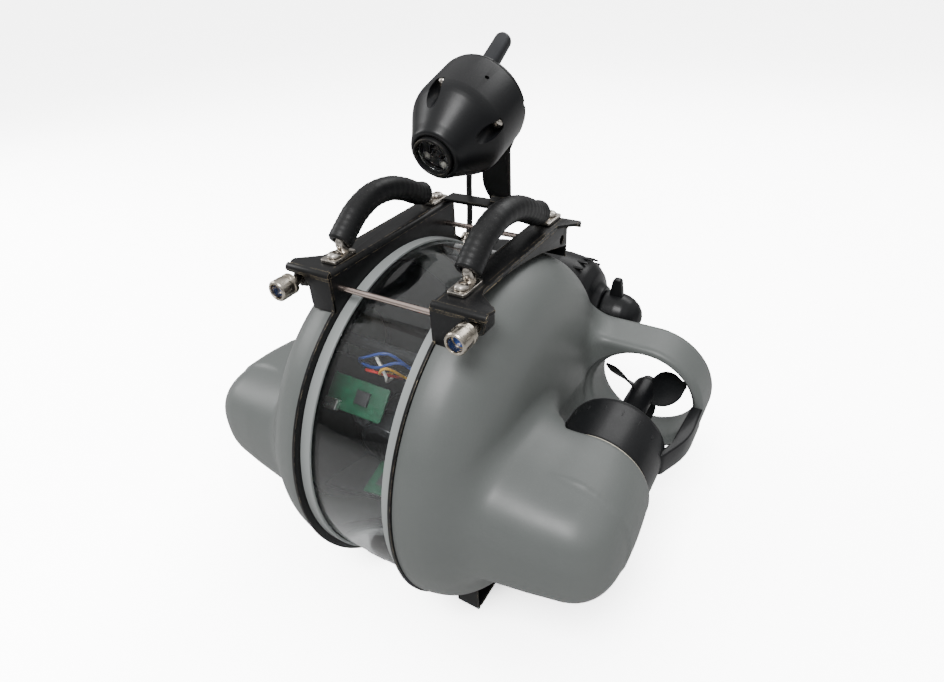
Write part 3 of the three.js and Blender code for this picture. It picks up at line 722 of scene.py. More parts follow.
def shellDistance(x, y, z):
    tx, tz = shell["thruster"]
    fromAxis = np.hypot(x - tx, z - tz)
    pod = podDistance(x, y, z)
    collar = np.maximum(fromAxis - 37.4, y + 18)
    collar = np.maximum(collar, -60 - y)
    pod = smoothMin(pod, collar, 6.0)
    body = smoothMin(domeDistance(x, y, z), pod, shell["fillet"])
    behind = np.maximum(fromAxis - 40.5, np.maximum(-19.6 - y, y - 66))
    body = smoothMax(body, -behind, 3.0)
    return np.maximum(smoothMin(body, shroudDistance(x, y, z), 16.0), 34.0 - x)


def netSurface(name, distance, low, high, step, finish):
    # quads through the cells where the distance changes sign, then drawn onto the surface
    axes = [np.arange(a, b + step, step) for a, b in zip(low, high)]
    grid = np.meshgrid(*axes, indexing="ij")
    value = distance(*grid)
    shape = [n - 1 for n in value.shape]
    total, hits = np.zeros((*shape, 3)), np.zeros(shape)
    edges = []
    for axis in range(3):
        first = [slice(None)] * 3
        second = [slice(None)] * 3
        first[axis], second[axis] = slice(0, -1), slice(1, None)
        a, b = value[tuple(first)], value[tuple(second)]
        crossing = np.argwhere((a < 0) != (b < 0))
        others = [k for k in range(3) if k != axis]
        keep = np.all((crossing[:, others] > 0) & (crossing[:, others] < [shape[k] for k in others]),
                      axis=1)
        crossing = crossing[keep]
        va, vb = a[tuple(crossing.T)], b[tuple(crossing.T)]
        spot = np.stack([axes[k][crossing[:, k]] for k in range(3)], -1)
        spot[:, axis] += step * va / (va - vb)
        cells = []
        for da, db in ((0, 0), (1, 0), (1, 1), (0, 1)):
            cell = crossing.copy()
            cell[:, others[0]] -= da
            cell[:, others[1]] -= db
            np.add.at(total, tuple(cell.T), spot)
            np.add.at(hits, tuple(cell.T), 1)
            cells.append(cell)
        edges.append((cells, va < 0, axis))
    active = hits > 0
    number = np.full(shape, -1)
    number[active] = np.arange(active.sum())
    points = total[active] / hits[active][:, None]
    for _ in range(4):
        here = distance(*points.T)
        slope = np.stack([(distance(*(points + d).T) - distance(*(points - d).T)) / 0.4
                          for d in np.eye(3) * 0.2], -1)
        size = np.maximum((slope ** 2).sum(1), 1e-3)
        shift = -(here / size)[:, None] * slope
        points = points + np.clip(shift, -step * 0.4, step * 0.4)
    faces = []
    for cells, inside, axis in edges:
        quad = np.stack([number[tuple(c.T)] for c in cells], -1)
        swap = inside if axis != 1 else ~inside
        quad[swap] = quad[swap][:, ::-1]
        faces.append(quad)
    return newPiece(name, points.tolist(), np.vstack(faces).tolist(), finish)


def makeShell():
    body = netSurface("port_shell_cast", shellDistance, (30, -130, -134), (170, 130, 134), shell["step"],
                      "shellPaint")
    seam = block("seamTool", 0, shell["seam"], -200, 200, -200, 200, "shellPaint", corner=0, edge=0.01)
    carve(body, seam)
    carve(body, turned("hollowTool", smoothProfile(shell["inside"]), "shellPaint", segments=96))
    axle = turned("axleTool", [[46, 0], [46, 8], [76, 8], [76, 0]], "shellPaint", segments=40, ease=0.6)
    carve(body, axle, "UNION")
    tx, tz = shell["thruster"]
    bore = [[-73, 0], [-73, 34.8], [-20.6, 34.8], [-19.4, 36.4], [-10, 36.4], [-10, 0]]
    carve(body, move(turned("boreTool", bore, "shellPaint", "Y", 96), x=tx, z=tz))
    duct = [[62, 0], [62, 44], [71, 43], [73.5, 39.6], [77, 38], [103, 38], [106.5, 39.6], [109, 43],
            [116, 44], [116, 0]]
    carve(body, move(turned("ductTool", eased(duct, 3, 4), "shellPaint", "Y", 112), x=tx, z=tz), sharp=38)
    return body


def smoothProfile(points):
    return [(p[0], p[1]) for p in eased([Vector((x, r)) for x, r in points], 6, 3)]


portShell = makeShell()
print("shell faces:", len(portShell.data.polygons))
settlePair(portShell, "shell_cast", "shell", "shell")

# thin pale ring round each motor opening: a painted reflection, standing for the grazing reflection of the
# pale surroundings on the black motor housing
paintedReflectionRing = {"radius": 35.3, "width": 0.9, "at": -20.4}


def makePaintedReflectionRing():
    r, w, at = paintedReflectionRing["radius"], paintedReflectionRing["width"], paintedReflectionRing["at"]
    seal = turned("port_painted_reflection_ring", [[at, r - w], [at + 1.3, r - w], [at + 1.3, r + w], [at, r + w]],
                  "paintedReflection", "Y",
                  96, loop=True, ease=0.4)
    return move(seal, x=shell["thruster"][0], z=shell["thruster"][1])


# painted reflection rings at both motor openings, riding the hull
portReflectionRing = makePaintedReflectionRing()
starboardReflectionRing = flipped(portReflectionRing, "starboard_painted_reflection_ring")
for lip in (portReflectionRing, starboardReflectionRing):
    settle(lip, "hull")

# window, clamp rings and seals
window = {"outer": 119.5, "inner": 113.5, "half": 33.5, "ringIn": 28.0, "ringOut": 35.7, "ringTop": 121.8}


def makeWindow():
    w = window
    pane = [[-w["half"], w["inner"]], [-w["half"], w["outer"]], [w["half"], w["outer"]],
            [w["half"], w["inner"]]]
    settle(turned("window_pane", pane, "clearAcrylic", segments=224, loop=True, ease=0.5), "hull",
           "window_ring",
           slot="window")
    lip = [[w["ringIn"], w["outer"] + 0.3], [w["ringIn"], w["ringTop"]], [w["ringOut"], w["ringTop"]],
           [w["ringOut"], w["outer"] + 0.3]]
    ring = turned("port_clamp", lip, "ringPaint", segments=224, loop=True, ease=0.6)
    band = [[33.8, 113.5], [33.8, 119.5], [35.7, 119.5], [35.7, 113.5]]
    seal = turned("port_window_seal", band, "sealRubber", segments=160, loop=True, ease=0.4)
    settlePair(ring, "clamp", "clamp_ring", "clamp_ring")
    settlePair(seal, "window_seal", "seal", "rubber")


makeWindow()
print("hull ready")

# folded frame plates
plate = {"in": 36.0, "thick": 2.0, "radius": 126.5, "front": -66.0, "back": 73.0, "top": 132.6,
         "bottom": -134.0,
         "reach": 56.0, "bend": 3.2, "hole": 2.3}


def arcRun(radius, start, stop, steps):
    return [(radius * math.cos(start + (stop - start) * i / steps),
             radius * math.sin(start + (stop - start) * i / steps))
            for i in range(steps + 1)]


def bendStrip(name, low, high, outer, corner, quarter, plane, finish):
    # quarter-round fold between two flats; corner is the outer corner it replaces
    ca, cb = corner
    inner = outer - plate["thick"]
    sa, sb = quarter
    points = arcRun(1, 0, math.pi / 2, 8)
    across, upward = ca + sa * outer, cb + sb * outer
    outside = [(across - sa * outer * p[0], upward - sb * outer * p[1]) for p in points]
    inside = [(across - sa * inner * p[0], upward - sb * inner * p[1]) for p in reversed(points)]
    return cutSheet(name, outside + inside, low, high, finish, plane, edge=0.02)


def makeFrame():
    p = plate
    x0, x1 = p["in"], p["in"] + p["thick"]
    front, back, top, bottom, bend = p["front"], p["back"], p["top"], p["bottom"], p["bend"]
    backCorner, frontCorner = math.asin(back / p["radius"]), math.asin(-front / p["radius"])
    side = [(front + 2, top - bend), (back - 2, top - bend)]
    side += arcRun(p["radius"], math.pi / 2 - backCorner, -math.pi / 2 + backCorner, 60)
    side += [(back, bottom + bend), (front, bottom + bend)]
    side += arcRun(p["radius"], -math.pi / 2 - frontCorner, -3 * math.pi / 2 + frontCorner, 60)
    parts = [cutSheet("side", side, x0, x1, "anodisedSheet", "X", holes=[circle(0, 0, 108, 160)])]
    flange = [(x0 + bend, front + bend), (70, front + bend), (71.6, front + 6), (72, front + 9),
              (p["reach"] + 2, -46),
              (p["reach"], -40), (p["reach"], 56), (66, 66), (66, back - bend), (x0 + bend, back - bend)]
    holes = [circle(46, -48, p["hole"], 20), circle(46, 66, p["hole"], 20)]
    parts.append(cutSheet("flange", flange, top - 2, top, "anodisedSheet", "Z", holes=holes, edge=0.25))
    parts.append(bendStrip("sideFold", front + bend, back - bend, bend, (x0, top), (1, -1), "Y",
                           "anodisedSheet"))
    lip = [(x0, 127.6), (69, 127.8), (71.6, 128.6), (71.6, top - bend), (x0, top - bend)]
    parts.append(cutSheet("lip", lip, front, front + 2, "anodisedSheet", "Y", corner=[0, 1.0, 1.5, 0, 0]))
    parts.append(bendStrip("frontFold", x0 + 0.6, 71.4, bend, (front, top), (1, -1), "X", "anodisedSheet"))
    leg = [(x0, 106), (53, 106), (54, 110), (54, 121), (55, 124.6), (57.5, 127.4), (62, 128.5), (x0, 128.5)]
    parts.append(cutSheet("frontLeg", leg, front, front + 2, "anodisedSheet", "Y"))
    rear = [(x0, 104), (p["reach"], 104), (p["reach"], 124), (58, 127.5), (66, 127.5), (66, top - bend),
            (x0, top - bend)]
    parts.append(cutSheet("rearLeg", rear, back - 2, back, "anodisedSheet", "Y"))
    skirt = [(-42, top - 2.6), (-24, 130), (5, 128), (35, 122.5), (60, 115.5), (back - 1, 112),
             (back - 1, top - 2.6)]
    skirt = cutSheet("skirt", skirt, p["reach"] - 2, p["reach"], "anodisedSheet", "X",
                     holes=[circle(64, 119.5, 3.2, 28)],
                     corner=[0, 30, 40, 60, 40, 2, 0])
    parts.append(skirt)
    parts.append(bendStrip("skirtFold", -42, back - bend, 2.6, (p["reach"], top), (-1, -1), "Y",
                           "anodisedSheet"))
    parts.append(bendStrip("rearFold", x0 + 0.6, 66, bend, (back, top), (-1, -1), "X", "anodisedSheet"))
    foot = rectangle(x0 + bend, 54, front + bend, back - bend)
    parts.append(cutSheet("foot", foot, bottom, bottom + 2, "anodisedSheet", "Z", corner=[0, 3, 3, 0]))
    parts.append(bendStrip("footFold", front + bend, back - bend, bend, (x0, bottom), (1, 1), "Y",
                           "anodisedSheet"))
    for name, at, sign in (("toeFront", front, 1), ("toeBack", back, -1)):
        toe = rectangle(x0, 54, bottom + bend, -108 if sign > 0 else -104)
        parts.append(cutSheet(name, toe, min(at, at + 2 * sign), max(at, at + 2 * sign), "anodisedSheet",
                              "Y",
                              corner=[0, 0, 3, 0]))
        parts.append(bendStrip(name + "Fold", x0 + 0.6, 54, bend, (at, bottom), (sign, 1), "X",
                               "anodisedSheet"))
    return joined("port_frame_sheet", parts, "anodisedSheet", 30)


settlePair(makeFrame(), "frame_sheet", "frame_plate", "frame")

# handles
handle = {
    "x": 46.0, "tabTop": 134.9, "barRadius": 3.4, "sleeve": 8.0, "bore": 4.6,
    "run": [[-41.5, 141.6], [-33, 148], [-22, 155], [-6, 159.6], [12, 158.4], [27, 153], [40, 146],
            [50, 142.9]],
    "screws": [-48.0, 66.0],
}


def makeHandle():
    h = handle
    x = h["x"]
    run = smoothRun([(x, y, z) for y, z in h["run"]], 10)
    count = len(run)
    radii = []
    for i in range(count):
        t = i / (count - 1)
        lip = min(t, 1 - t) * count
        radii.append(h["sleeve"] - 0.9 * max(0.0, 1 - lip / 1.5) ** 2 + 0.12 * math.sin(i * 1.9))
    sleeve = swept("port_handle_sleeve", run, radii, "sleeveRubber", 32, inner=h["bore"], sharp=50)
    bend = [(-38.8, 135.0), (-40.6, 141.9), *h["run"][1:-1], (50, 142.4), (55.5, 135.2)]
    core = smoothRun([(x, y, z) for y, z in bend], 8)
    bar = swept("bar", core, [h["barRadius"]] * len(core), "stainless", 20)
    tabs = [bar]
    for name, outline in (("frontTab", rectangle(x - 6, x + 6, -55, -34)),
                          ("backTab", rectangle(x - 6, x + 6, 52, 72))):
        hole = circle(x, h["screws"][0] if name == "frontTab" else h["screws"][1], 2.3, 20)
        tabs.append(cutSheet(name, outline, h["tabTop"] - 2, h["tabTop"], "stainless", "Z", holes=[hole],
                             corner=2.2))
    steel = joined("port_handle_steel", tabs, "stainless")
    return sleeve, steel


def buttonScrew(name, finish="stainless"):
    head = [[-6, 0], [-6, 2], [0.1, 2], [0.1, 4.5], [0.9, 4.45], [1.8, 3.9], [2.5, 2.9], [2.85, 1.6],
            [2.9, 0]]
    screw = turned(name, head, finish, "Z", 40, ease=0.25)
    return carve(screw, turned(name + "Key", [[1.3, 0], [1.3, 1.5], [4, 1.5], [4, 0]], finish, "Z", 6))


def fitHandles():
    sleeve, steel = makeHandle()
    settlePair(sleeve, "handle_sleeve", "handle_grip", "rubber")
    settlePair(steel, "handle_steel", "handle_bar", "stainless")
    for end, y in zip(("front", "back"), handle["screws"]):
        screw = move(buttonScrew(f"port_{end}_button"), x=handle["x"], y=y, z=handle["tabTop"] + 0.2)
        settlePair(screw, f"{end}_button", f"handle_{end}_screw", "stainless")


fitHandles()
print("frame and handles ready")

# cross rods with threaded ends
rods = {"front": (-58.0, 120.5), "back": (62.0, 117.0), "radius": 1.9, "reach": 44.0, "pitch": 0.8,
        "threads": 6}


def makeRod(end):
    y, z = rods[end]
    reach, radius, pitch = rods["reach"], rods["radius"], rods["pitch"]
    core = turned("core", [[-reach, 0], [-reach, radius - 0.35], [-40, radius - 0.35], [-35, radius],
                           [35, radius],
                           [40, radius - 0.35], [reach, radius - 0.35], [reach, 0]], "rosyStainless",
                  segments=24, ease=0.2)
    ridge = turned("ridge", [[-0.38, radius - 0.5], [0, radius], [0.38, radius - 0.5]], "rosyStainless",
                   segments=24,
                   loop=True)
    ridges = move(repeated(ridge, rods["threads"], step=(pitch, 0, 0)), x=reach - 4.6)
    other = flipped(ridges, "otherRidges")
    nut = turned("nut", [[38.3, 0], [38.3, 4], [42, 4], [42, 0]], "stainless", segments=6, ease=0.3)
    return move(joined(end + "_cross_bar", [core, ridges, other, nut, flipped(nut, "otherNut")]), y=y, z=z)


for end in ("front", "back"):
    settle(makeRod(end), "hull", end + "_cross_rod", slot="stainless")

# laser pointers
laser = {"x": 62.9, "z": 123.6, "ribs": 14}


def makeLaser():
    tube = [[-48, 0], [-48, 3.3], [-70.2, 3.3], [-70.2, 5.6], [-71, 6.7], [-73.4, 6.7], [-73.8, 6.1],
            [-75.2, 6.1],
            [-75.6, 6.7], [-82.6, 6.75], [-83.6, 6.0], [-83.6, 4.9], [-82.8, 4.6], [-78.3, 4.6], [-78.3, 0]]
    barrel = turned("barrel", tube, "nickelPlate", "Y", 56, ease=0.25)
    rib = block("rib", 6.4, 6.78, -0.42, 0.42, -2.3, 2.3, "nickelPlate", corner=0.15, edge=0.1)
    ribs = repeated(move(rib, x=-6.6), laser["ribs"], radius=6.6)
    turn(ribs, 90, "X")
    move(ribs, y=-79.2)
    eye = turned("eye", [[-78.2, 0], [-78.8, 1.3], [-78.5, 2.8], [-78.2, 4.5]], "cellWrap", "Y", 40)
    return move(joined("port_laser_tube", [barrel, ribs, eye]), x=laser["x"], z=laser["z"])


def makeLaserMount():
    x, z = laser["x"], laser["z"]
    body = cutSheet("body", rectangle(x - 5.2, x + 5.2, z - 6.4, 130.3), -62, -51, "anodisedSheet", "Y",
                    corner=[4, 4, 1, 1])
    nut = move(turned("nut", [[-63.6, 3.8], [-63.6, 5.6], [-63.2, 6], [-61.9, 6], [-61.9, 3.8]],
                      "anodisedSheet", "Y", 8,
                      loop=True, ease=0.2), x=x, z=z)
    carve(body, move(turned("seat", [[-70, 0], [-70, 3.6], [-40, 3.6], [-40, 0]], "anodisedSheet", "Y",
                            48), x=x, z=z))
    return joined("port_laser_block", [body, nut])


settlePair(makeLaser(), "laser_tube", "laser_barrel", "nickel")
settlePair(makeLaserMount(), "laser_block", "laser_mount", "frame")

# strap and arm that carry the second camera
arm = {"bottom": 132.9, "top": 135.5, "pivot": (0.0, 80.0, 186.0)}


def makeArm():
    a = arm
    strap = cutSheet("strap", rectangle(-39, 39, 63, 76.5), a["bottom"], a["top"], "anodisedSheet", "Z",
                     corner=1.5,
                     edge=0.5)
    post = [(-4, 134), (10, 134), (11, 138), (11, 191), (6.3, 191), (6.3, 172), (-6.3, 172), (-6.3, 191),
            (-11, 191),
            (-11, 146)]
    upright = cutSheet("upright", post, 73.5, 76.5, "anodisedSheet", "Y",
                       corner=[0, 1, 3, 1, 1, 2, 2, 1, 1, 5], edge=0.5)
    fold = cutSheet("fold", [(70.5, 134.6), (76, 134.6), (76, 140), (73.8, 139.4), (72.4, 137)], -3.6, 9.8,
                    "anodisedSheet", "X", corner=[0.2, 1.6, 0.4, 1.5, 1], edge=0.3)
    cheek = [(73.5, 172), (76, 172), (84, 179), (86, 184), (86, 188), (83.5, 191.5), (80, 192), (73.5, 191)]
    hole = circle(80, 186, 3.0, 28)
    cheeks = [cutSheet("cheek", cheek, x, x + 4.7, "anodisedSheet", "X", holes=[hole], corner=2, edge=0.5)
              for x in (-11, 6.3)]
    return joined("strap_and_arm", [strap, upright, fold, *cheeks], "anodisedSheet", 30)


def makePin():
    pin = turned("pin", [[-11.2, 0], [-11.2, 2.7], [11.2, 2.7], [11.2, 0]], "stainless", segments=32)
    head = turned("head", [[11.3, 0], [11.3, 5], [13.4, 5], [14, 4.4], [14, 2.4], [12.8, 2.4], [12.8, 0]],
                  "stainless",
                  segments=6, ease=0.3)
    other = flipped(head, "otherHead")
    return move(joined("tilt_bolt", [pin, head, other]), y=80, z=186)


settle(makeArm(), "hull", "rear_strap_arm", slot="frame")
settle(makePin(), "hull", "tilt_pin", slot="stainless")

# second camera, drawn along Y from its nose and then tipped into place
camera = {"nose": (0.0, 0.6, 187.7), "tip": 18.0, "back": 59.5, "screws": [-10, 80, 170, 260], "lamps": 4,
          "notches": [30, 90, 150, 210, 330]}


def seatCamera(piece, node, slot, nodes=()):
    turn(piece, camera["tip"], "X")
    move(piece, *camera["nose"])
    return settle(piece, "second_camera", node, *nodes, slot=slot)


def makeCameraBody():
    skin = [[0.2, 13.2], [0.2, 15.2], [1.2, 16.4], [6, 18.7], [13, 22.8], [20, 27], [23.5, 29], [26, 30.1],
            [28.5, 30.7],
            [31, 31], [59.5, 31], [59.5, 26.5], [36, 26.5], [35.5, 20.5], [20, 20.5], [8, 15], [8, 13.2]]
    body = turned("camera_shell", skin, "blackAcetal", "Y", 128, loop=True, ease=0.8, sharp=30)
    for angle in camera["screws"]:
        pocket = turned("pocket", [[2, 0], [2, 4.5], [32, 4.6], [33, 3.8], [33, 0]], "blackAcetal", "Y",
                        40, ease=0.5)
        carve(body, turn(move(pocket, z=27.5), angle, "Y"), sharp=30)
    hole = turned("hole", [[27, 0], [27, 1.4], [36, 1.4], [36, 0]], "blackAcetal", "Z", 20)
    carve(body, turn(move(hole, y=45), 35, "Y"), sharp=30)
    return body


def makeCamera2():
    seatCamera(makeCameraBody(), "camera_housing", "black_plastic")
    bezel = turned("camera_bezel_ring", [[-2.4, 11], [-2.4, 12.7], [6, 12.9], [6, 11]], "anodisedSheet",
                   "Y", 72,
                   loop=True, ease=0.6)
    seatCamera(bezel, "camera_bezel", "frame")
    pane = turned("camera_window", [[0.4, 0], [0.4, 10.7], [3.4, 10.7], [3.4, 0]], "cameraGlass", "Y", 72,
                  ease=0.3)
    seatCamera(pane, "camera_port", "camera_glass")
    plate2 = turned("board", [[6.4, 5.3], [6.4, 10.7], [8, 10.7], [8, 5.3]], "chipBlack", "Y", 56,
                    loop=True, ease=0.2)
    dome = turned("lamp", [[-1.4, 0], [-1.4, 1.6], [-0.6, 2.1], [0.4, 1.9], [1.2, 1.1], [1.4, 0]],
                  "lampWhite", "Z", 20,
                  ease=0.2)
    cup = turned("cup", [[-1.5, 2.1], [-1.5, 2.5], [0.4, 2.68], [0.4, 2.4], [-0.9, 2.15]], "tinPlate", "Z",
                 24, loop=True)
    lamps = turn(repeated(dome, camera["lamps"], radius=8.0), 90, "X")
    cups = turn(repeated(cup, camera["lamps"], radius=8.0), 90, "X")
    ring = joined("camera_lamp_ring", [plate2, move(lamps, y=5.6), move(cups, y=5.4)])
    seatCamera(turn(ring, -18, "Y"), "camera_lamp_board", "lamp_board")
    lens = turned("camera_eye", [[4.9, 0], [4.4, 1.4], [4.1, 2.2], [4.6, 2.9], [4.2, 3.7], [6, 4.6],
                                 [26, 4.9], [26, 6.5],
                                 [30, 6.5], [30, 0]], "blackAcetal", "Y", 56, ease=0.3)
    seatCamera(lens, "camera_lens", "black_plastic")


def makeRearCap():
    back = camera["back"]
    cap = turned("camera_back_cap", [[back - 8, 0], [back - 8, 26.1], [back + 0.3, 26.1],
                                     [back + 0.3, 30.5],
                                     [back + 2.8, 30.3], [back + 4.5, 28.4], [back + 4.7, 20],
                                     [back + 4.5, 0]],
                 "blackAcetal", "Y", 112, ease=0.8)
    for angle in camera["notches"]:
        tool = block("notch", -2, 2, back + 1, back + 7, 28.6, 34, "blackAcetal", corner=0.6, edge=0.1)
        carve(cap, turn(tool, angle, "Y"))
    tip = math.radians(-camera["tip"])
    py, pz = arm["pivot"][1] - camera["nose"][1], arm["pivot"][2] - camera["nose"][2]
    y, z = math.cos(tip) * py - math.sin(tip) * pz, math.sin(tip) * py + math.cos(tip) * pz
    lug = circle(y, z, 5.4, 48)
    outline = [(back + 2, z + 5.4)] + sorted([tuple(p) for p in lug if p[0] >= y], key=lambda p: -p[1]) + [
        (back + 2, z - 5.4)]
    ear = cutSheet("ear", outline, -6, 6, "blackAcetal", "X", holes=[circle(y, z, 3, 32)], edge=0.5)
    return joined("camera_back", [cap, ear], "blackAcetal")


def makePlug():
    body = [[-2.6, 0], [-2.6, 2.9], [0.6, 2.9], [0.6, 6], [4, 6], [4.6, 5.4], [5.6, 5.4], [6.2, 5.95],
            [14, 5.85],
            [29.4, 5.6], [31.2, 4.8], [32, 3.6], [31.4, 2.6], [31.2, 0]]
    plug = turn(turned("camera_plug", body, "motorCan", "Y", 48, ease=0.4), 12, "X")
    return move(plug, x=3, y=camera["back"] + 5.7, z=17)


makeCamera2()
seatCamera(makeRearCap(), "camera_rear_cap", "black_plastic")
seatCamera(makePlug(), "camera_vent_plug", "black_plastic")
for number, angle in enumerate(camera["screws"], 1):
    screw = buttonScrew(f"camera_pocket_screw_{number}")
    screw.data.transform(Matrix.Scale(0.74, 4))
    turn(screw, 90, "X")
    move(screw, y=32.8, z=27.5)
    seatCamera(turn(screw, angle, "Y"), f"camera_screw_{number}", "stainless")
print("second camera ready")

# lead from the second camera to the gland in the clamp ring
lead = {"radius": 2.3, "x": -32.3, "gland": (80.0, 96.0)}


def makeLead():
    tip = math.radians(camera["tip"])
    back = camera["back"]
    start = Vector((-19, math.cos(tip) * back + math.sin(tip) * 14,
                    math.sin(tip) * back - math.cos(tip) * 14))
    start += Vector(camera["nose"])
    out = Vector((0, *lead["gland"])).normalized()
    glandEnd = [Vector((lead["x"], 0, 0)) + out * r for r in (134, 124)]
    points = [start, (-19, 69.5, 195.4), (-21, 78, 194), (-25, 86, 180), (-31, 88, 145), (-32, 88, 118),
              *glandEnd]
    run = smoothRun(points, 12)
    return swept("camera_cable", run, [lead["radius"]] * len(run), "sealRubber", 16)


def makeGland():
    body = [[122.1, 2.7], [122.1, 5], [123.6, 5], [124.2, 4.6], [124.8, 5], [127.4, 5], [127.6, 4.2],
            [130, 4],
            [131, 3.4], [131, 2.7]]
    gland = turned("cable_gland", body, "nickelPlate", "Y", 40, loop=True, ease=0.3)
    carve(gland, block("flat", -8, -3.4, 100, 150, -20, 20, "nickelPlate", corner=0, edge=0.05))
    turn(gland, math.degrees(math.atan2(lead["gland"][1], lead["gland"][0])), "X")
    return move(gland, x=lead["x"])


cable = makeLead()
cable.data.transform(Matrix.Translation(hullCentre) @ Matrix.Scale(mm, 4))
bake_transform(cable)
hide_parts("camera_lead")
settle(makeGland(), "hull", "lead_gland", slot="nickel")

# thrusters
thruster = {"x": 119.5, "z": -2.0, "blades": 3, "tip": 35.0, "bladeAt": 82.0}


def makeMotorHousing():
    skin = [[-71, 0], [-71, 34.3], [-30, 34.5], [-19, 34.5], [-18.2, 34.0], [-17.2, 34.0], [-16.4, 34.5],
            [20.5, 34.5],
            [23.6, 33.9], [25.4, 32.6], [26.6, 30.6], [36, 20], [42, 12.6], [46, 10.4], [50, 9.5],
            [50.4, 3], [94.9, 3],
            [95, 5.2], [95.6, 5.6], [97.8, 5.6], [98.4, 5], [98.4, 0]]
    body = turned("motorSkin", skin, "blackAcetal", "Y", 112, ease=0.8)
    hollow = turned("hollow", [[-75, 0], [-75, 31.5], [18, 31.5], [20, 0]], "blackAcetal", "Y", 64)
    carve(body, hollow)
    parts = [body]
    strut = cutSheet("strut", [(31, 12), (35, 12), (46, 38), (46, 71.6), (38, 71.6), (36, 30)], -9, 9,
                     "blackAcetal", "Z",
                     corner=[1, 3, 12, 0.5, 1, 6], edge=1.2)
    tool = turned("sweepTool", [[26, 0], [26, 37.4], [80, 37.4], [80, 0]], "blackAcetal", "Y", 96)
    parts.append(carve(strut, tool))
    rib = block("rib", -0.9, 0.9, -2.5, 2.5, -0.5, 0.5, "blackAcetal", corner=0.4, edge=0.2)
    ribs = repeated(turn(rib, 90, "X"), 18, radius=33.8)
    parts.append(move(turn(ribs, 90, "X"), y=12))
    return joined("port_motor_pod", parts, "blackAcetal")


def makePropeller():
    t = thruster
    blades = []
    across, along = 12, 18
    for n in range(t["blades"]):
        angle = math.radians(90 + 360 / t["blades"] * n)
        points, faces = [], []
        for side in (1, -1):
            for i in range(along + 1):
                s = i / along
                radius = 6 + s * (t["tip"] - 6)
                chord = 19 + 9 * math.sin(math.pi * min(1, s * 1.05)) - 10 * s ** 4
                chord *= 1 - 0.55 * max(0, s - 0.82) / 0.18
                pitch = math.radians(62 - 34 * s)
                for k in range(across + 1):
                    v = k / across - 0.5
                    thick = (2.6 - 1.5 * s) * 0.5 * math.sqrt(max(0.0, 1 - (2 * v) ** 2)) * side
                    w = v * chord
                    around = w * math.cos(pitch) - thick * math.sin(pitch)
                    lift = w * math.sin(pitch) + thick * math.cos(pitch)
                    x, z = radius * math.cos(around / radius), radius * math.sin(around / radius)
                    points.append((x * math.cos(angle) + z * math.sin(angle), lift + t["bladeAt"],
                                   -x * math.sin(angle) + z * math.cos(angle)))
        layer = (along + 1) * (across + 1)
        for base in (0, layer):
            for i in range(along):
                for k in range(across):
                    a = base + i * (across + 1) + k
                    quad = (a, a + 1, a + across + 2, a + across + 1)
                    faces.append(quad if base else quad[::-1])
        for i in (0, along):
            rim = [i * (across + 1) + k for k in range(across + 1)] + [
                layer + i * (across + 1) + k for k in range(across - 1, 0, -1)]
            faces.append(rim)
        blades.append(newPiece("blade", points, faces, "blackAcetal", 50))
    hub = turned("hub", [[51, 0], [51, 9.0], [52, 9.4], [88, 9.3], [91, 8.6], [93.5, 7.2], [95, 5.4],
                         [95, 0]],
                 "blackAcetal", "Y", 56, ease=0.8)
    for blade in blades:
        carve(hub, blade, "UNION")
    carve(hub, turned("pinHole", [[45, 0], [45, 3.3], [99, 3.3], [99, 0]], "blackAcetal", "Y", 32))
    hub.name = "port_blades"
    return hub


def makeRotor():
    return turned("port_magnet_rotor", [[-11.7, 0], [-11.7, 4], [-6, 4], [-6, 28], [16, 28], [18, 26],
                                        [18, 0]],
                  "copperRotor", "Y", 72, ease=0.6)


def makeDriveMotor():
    return turned("port_motor_can", [[-66, 0], [-66, 22], [-62, 30.8], [-16, 30.8], [-12, 22], [-12, 0]],
                  "motorCan",
                  "Y", 72, ease=1.2)


thrusterPieces = [(makeMotorHousing, "motor_pod", "motor_housing", "black_plastic", None),
                  (makePropeller, "blades", "propeller", "black_plastic", "_propeller_body"),
                  (makeRotor, "magnet_rotor", "coupling_rotor", "rotor", "_rotor"),
                  (makeDriveMotor, "motor_can", "drive_motor", "motor_can", None)]
for make, label, node, slot, body in thrusterPieces:
    bodies = ("port" + body, "starboard" + body) if body else ("hull", "hull")
    piece = move(make(), x=thruster["x"], z=thruster["z"])
    piece.name = "port_" + label
    settlePair(piece, label, node, slot, bodies)
print("thrusters ready")

# tail: tether housing across the back of the hull
tail = {"y": 128.0, "z": 33.0, "clear": [[43, 127.1], [52, 124], [60, 120], [68, 113], [80, 100],
                                         [90, 80]], "ribs": 28}


def makeTail():
    half = [[30, 42], [44, 40], [54, 35.6], [60, 29.6], [62.6, 23], [66, 20.4], [68, 19.5]]
    profile = [[-68, 0], *[[-x, r] for x, r in reversed(half)], *half, [68, 0]]
    body = turned("tail_body", profile, "blackAcetal", segments=112, ease=1.6)
    ribs = []
    for sign in (1, -1):
        rib = block("rib", -0.7, 0.7, -1.4, 1.4, -4.5, 4.5, "blackAcetal", corner=0.5, edge=0.2)
        ring = turn(repeated(rib, tail["ribs"], radius=39.4), 90, "Y")
        ribs.append(move(ring, x=47 * sign))
    body = joined("tail_body", [body, *ribs], "blackAcetal")
    move(body, y=tail["y"], z=tail["z"])
    room = [[-x, r] for x, r in reversed(tail["clear"])] + tail["clear"]
    room = [[room[0][0], 0], *room, [room[-1][0], 0]]
    carve(body, turned("room", room, "blackAcetal", segments=128))
    carve(body, block("under", -90, 90, 60, 200, -40, 4, "blackAcetal", corner=0, edge=0.05))
    return body


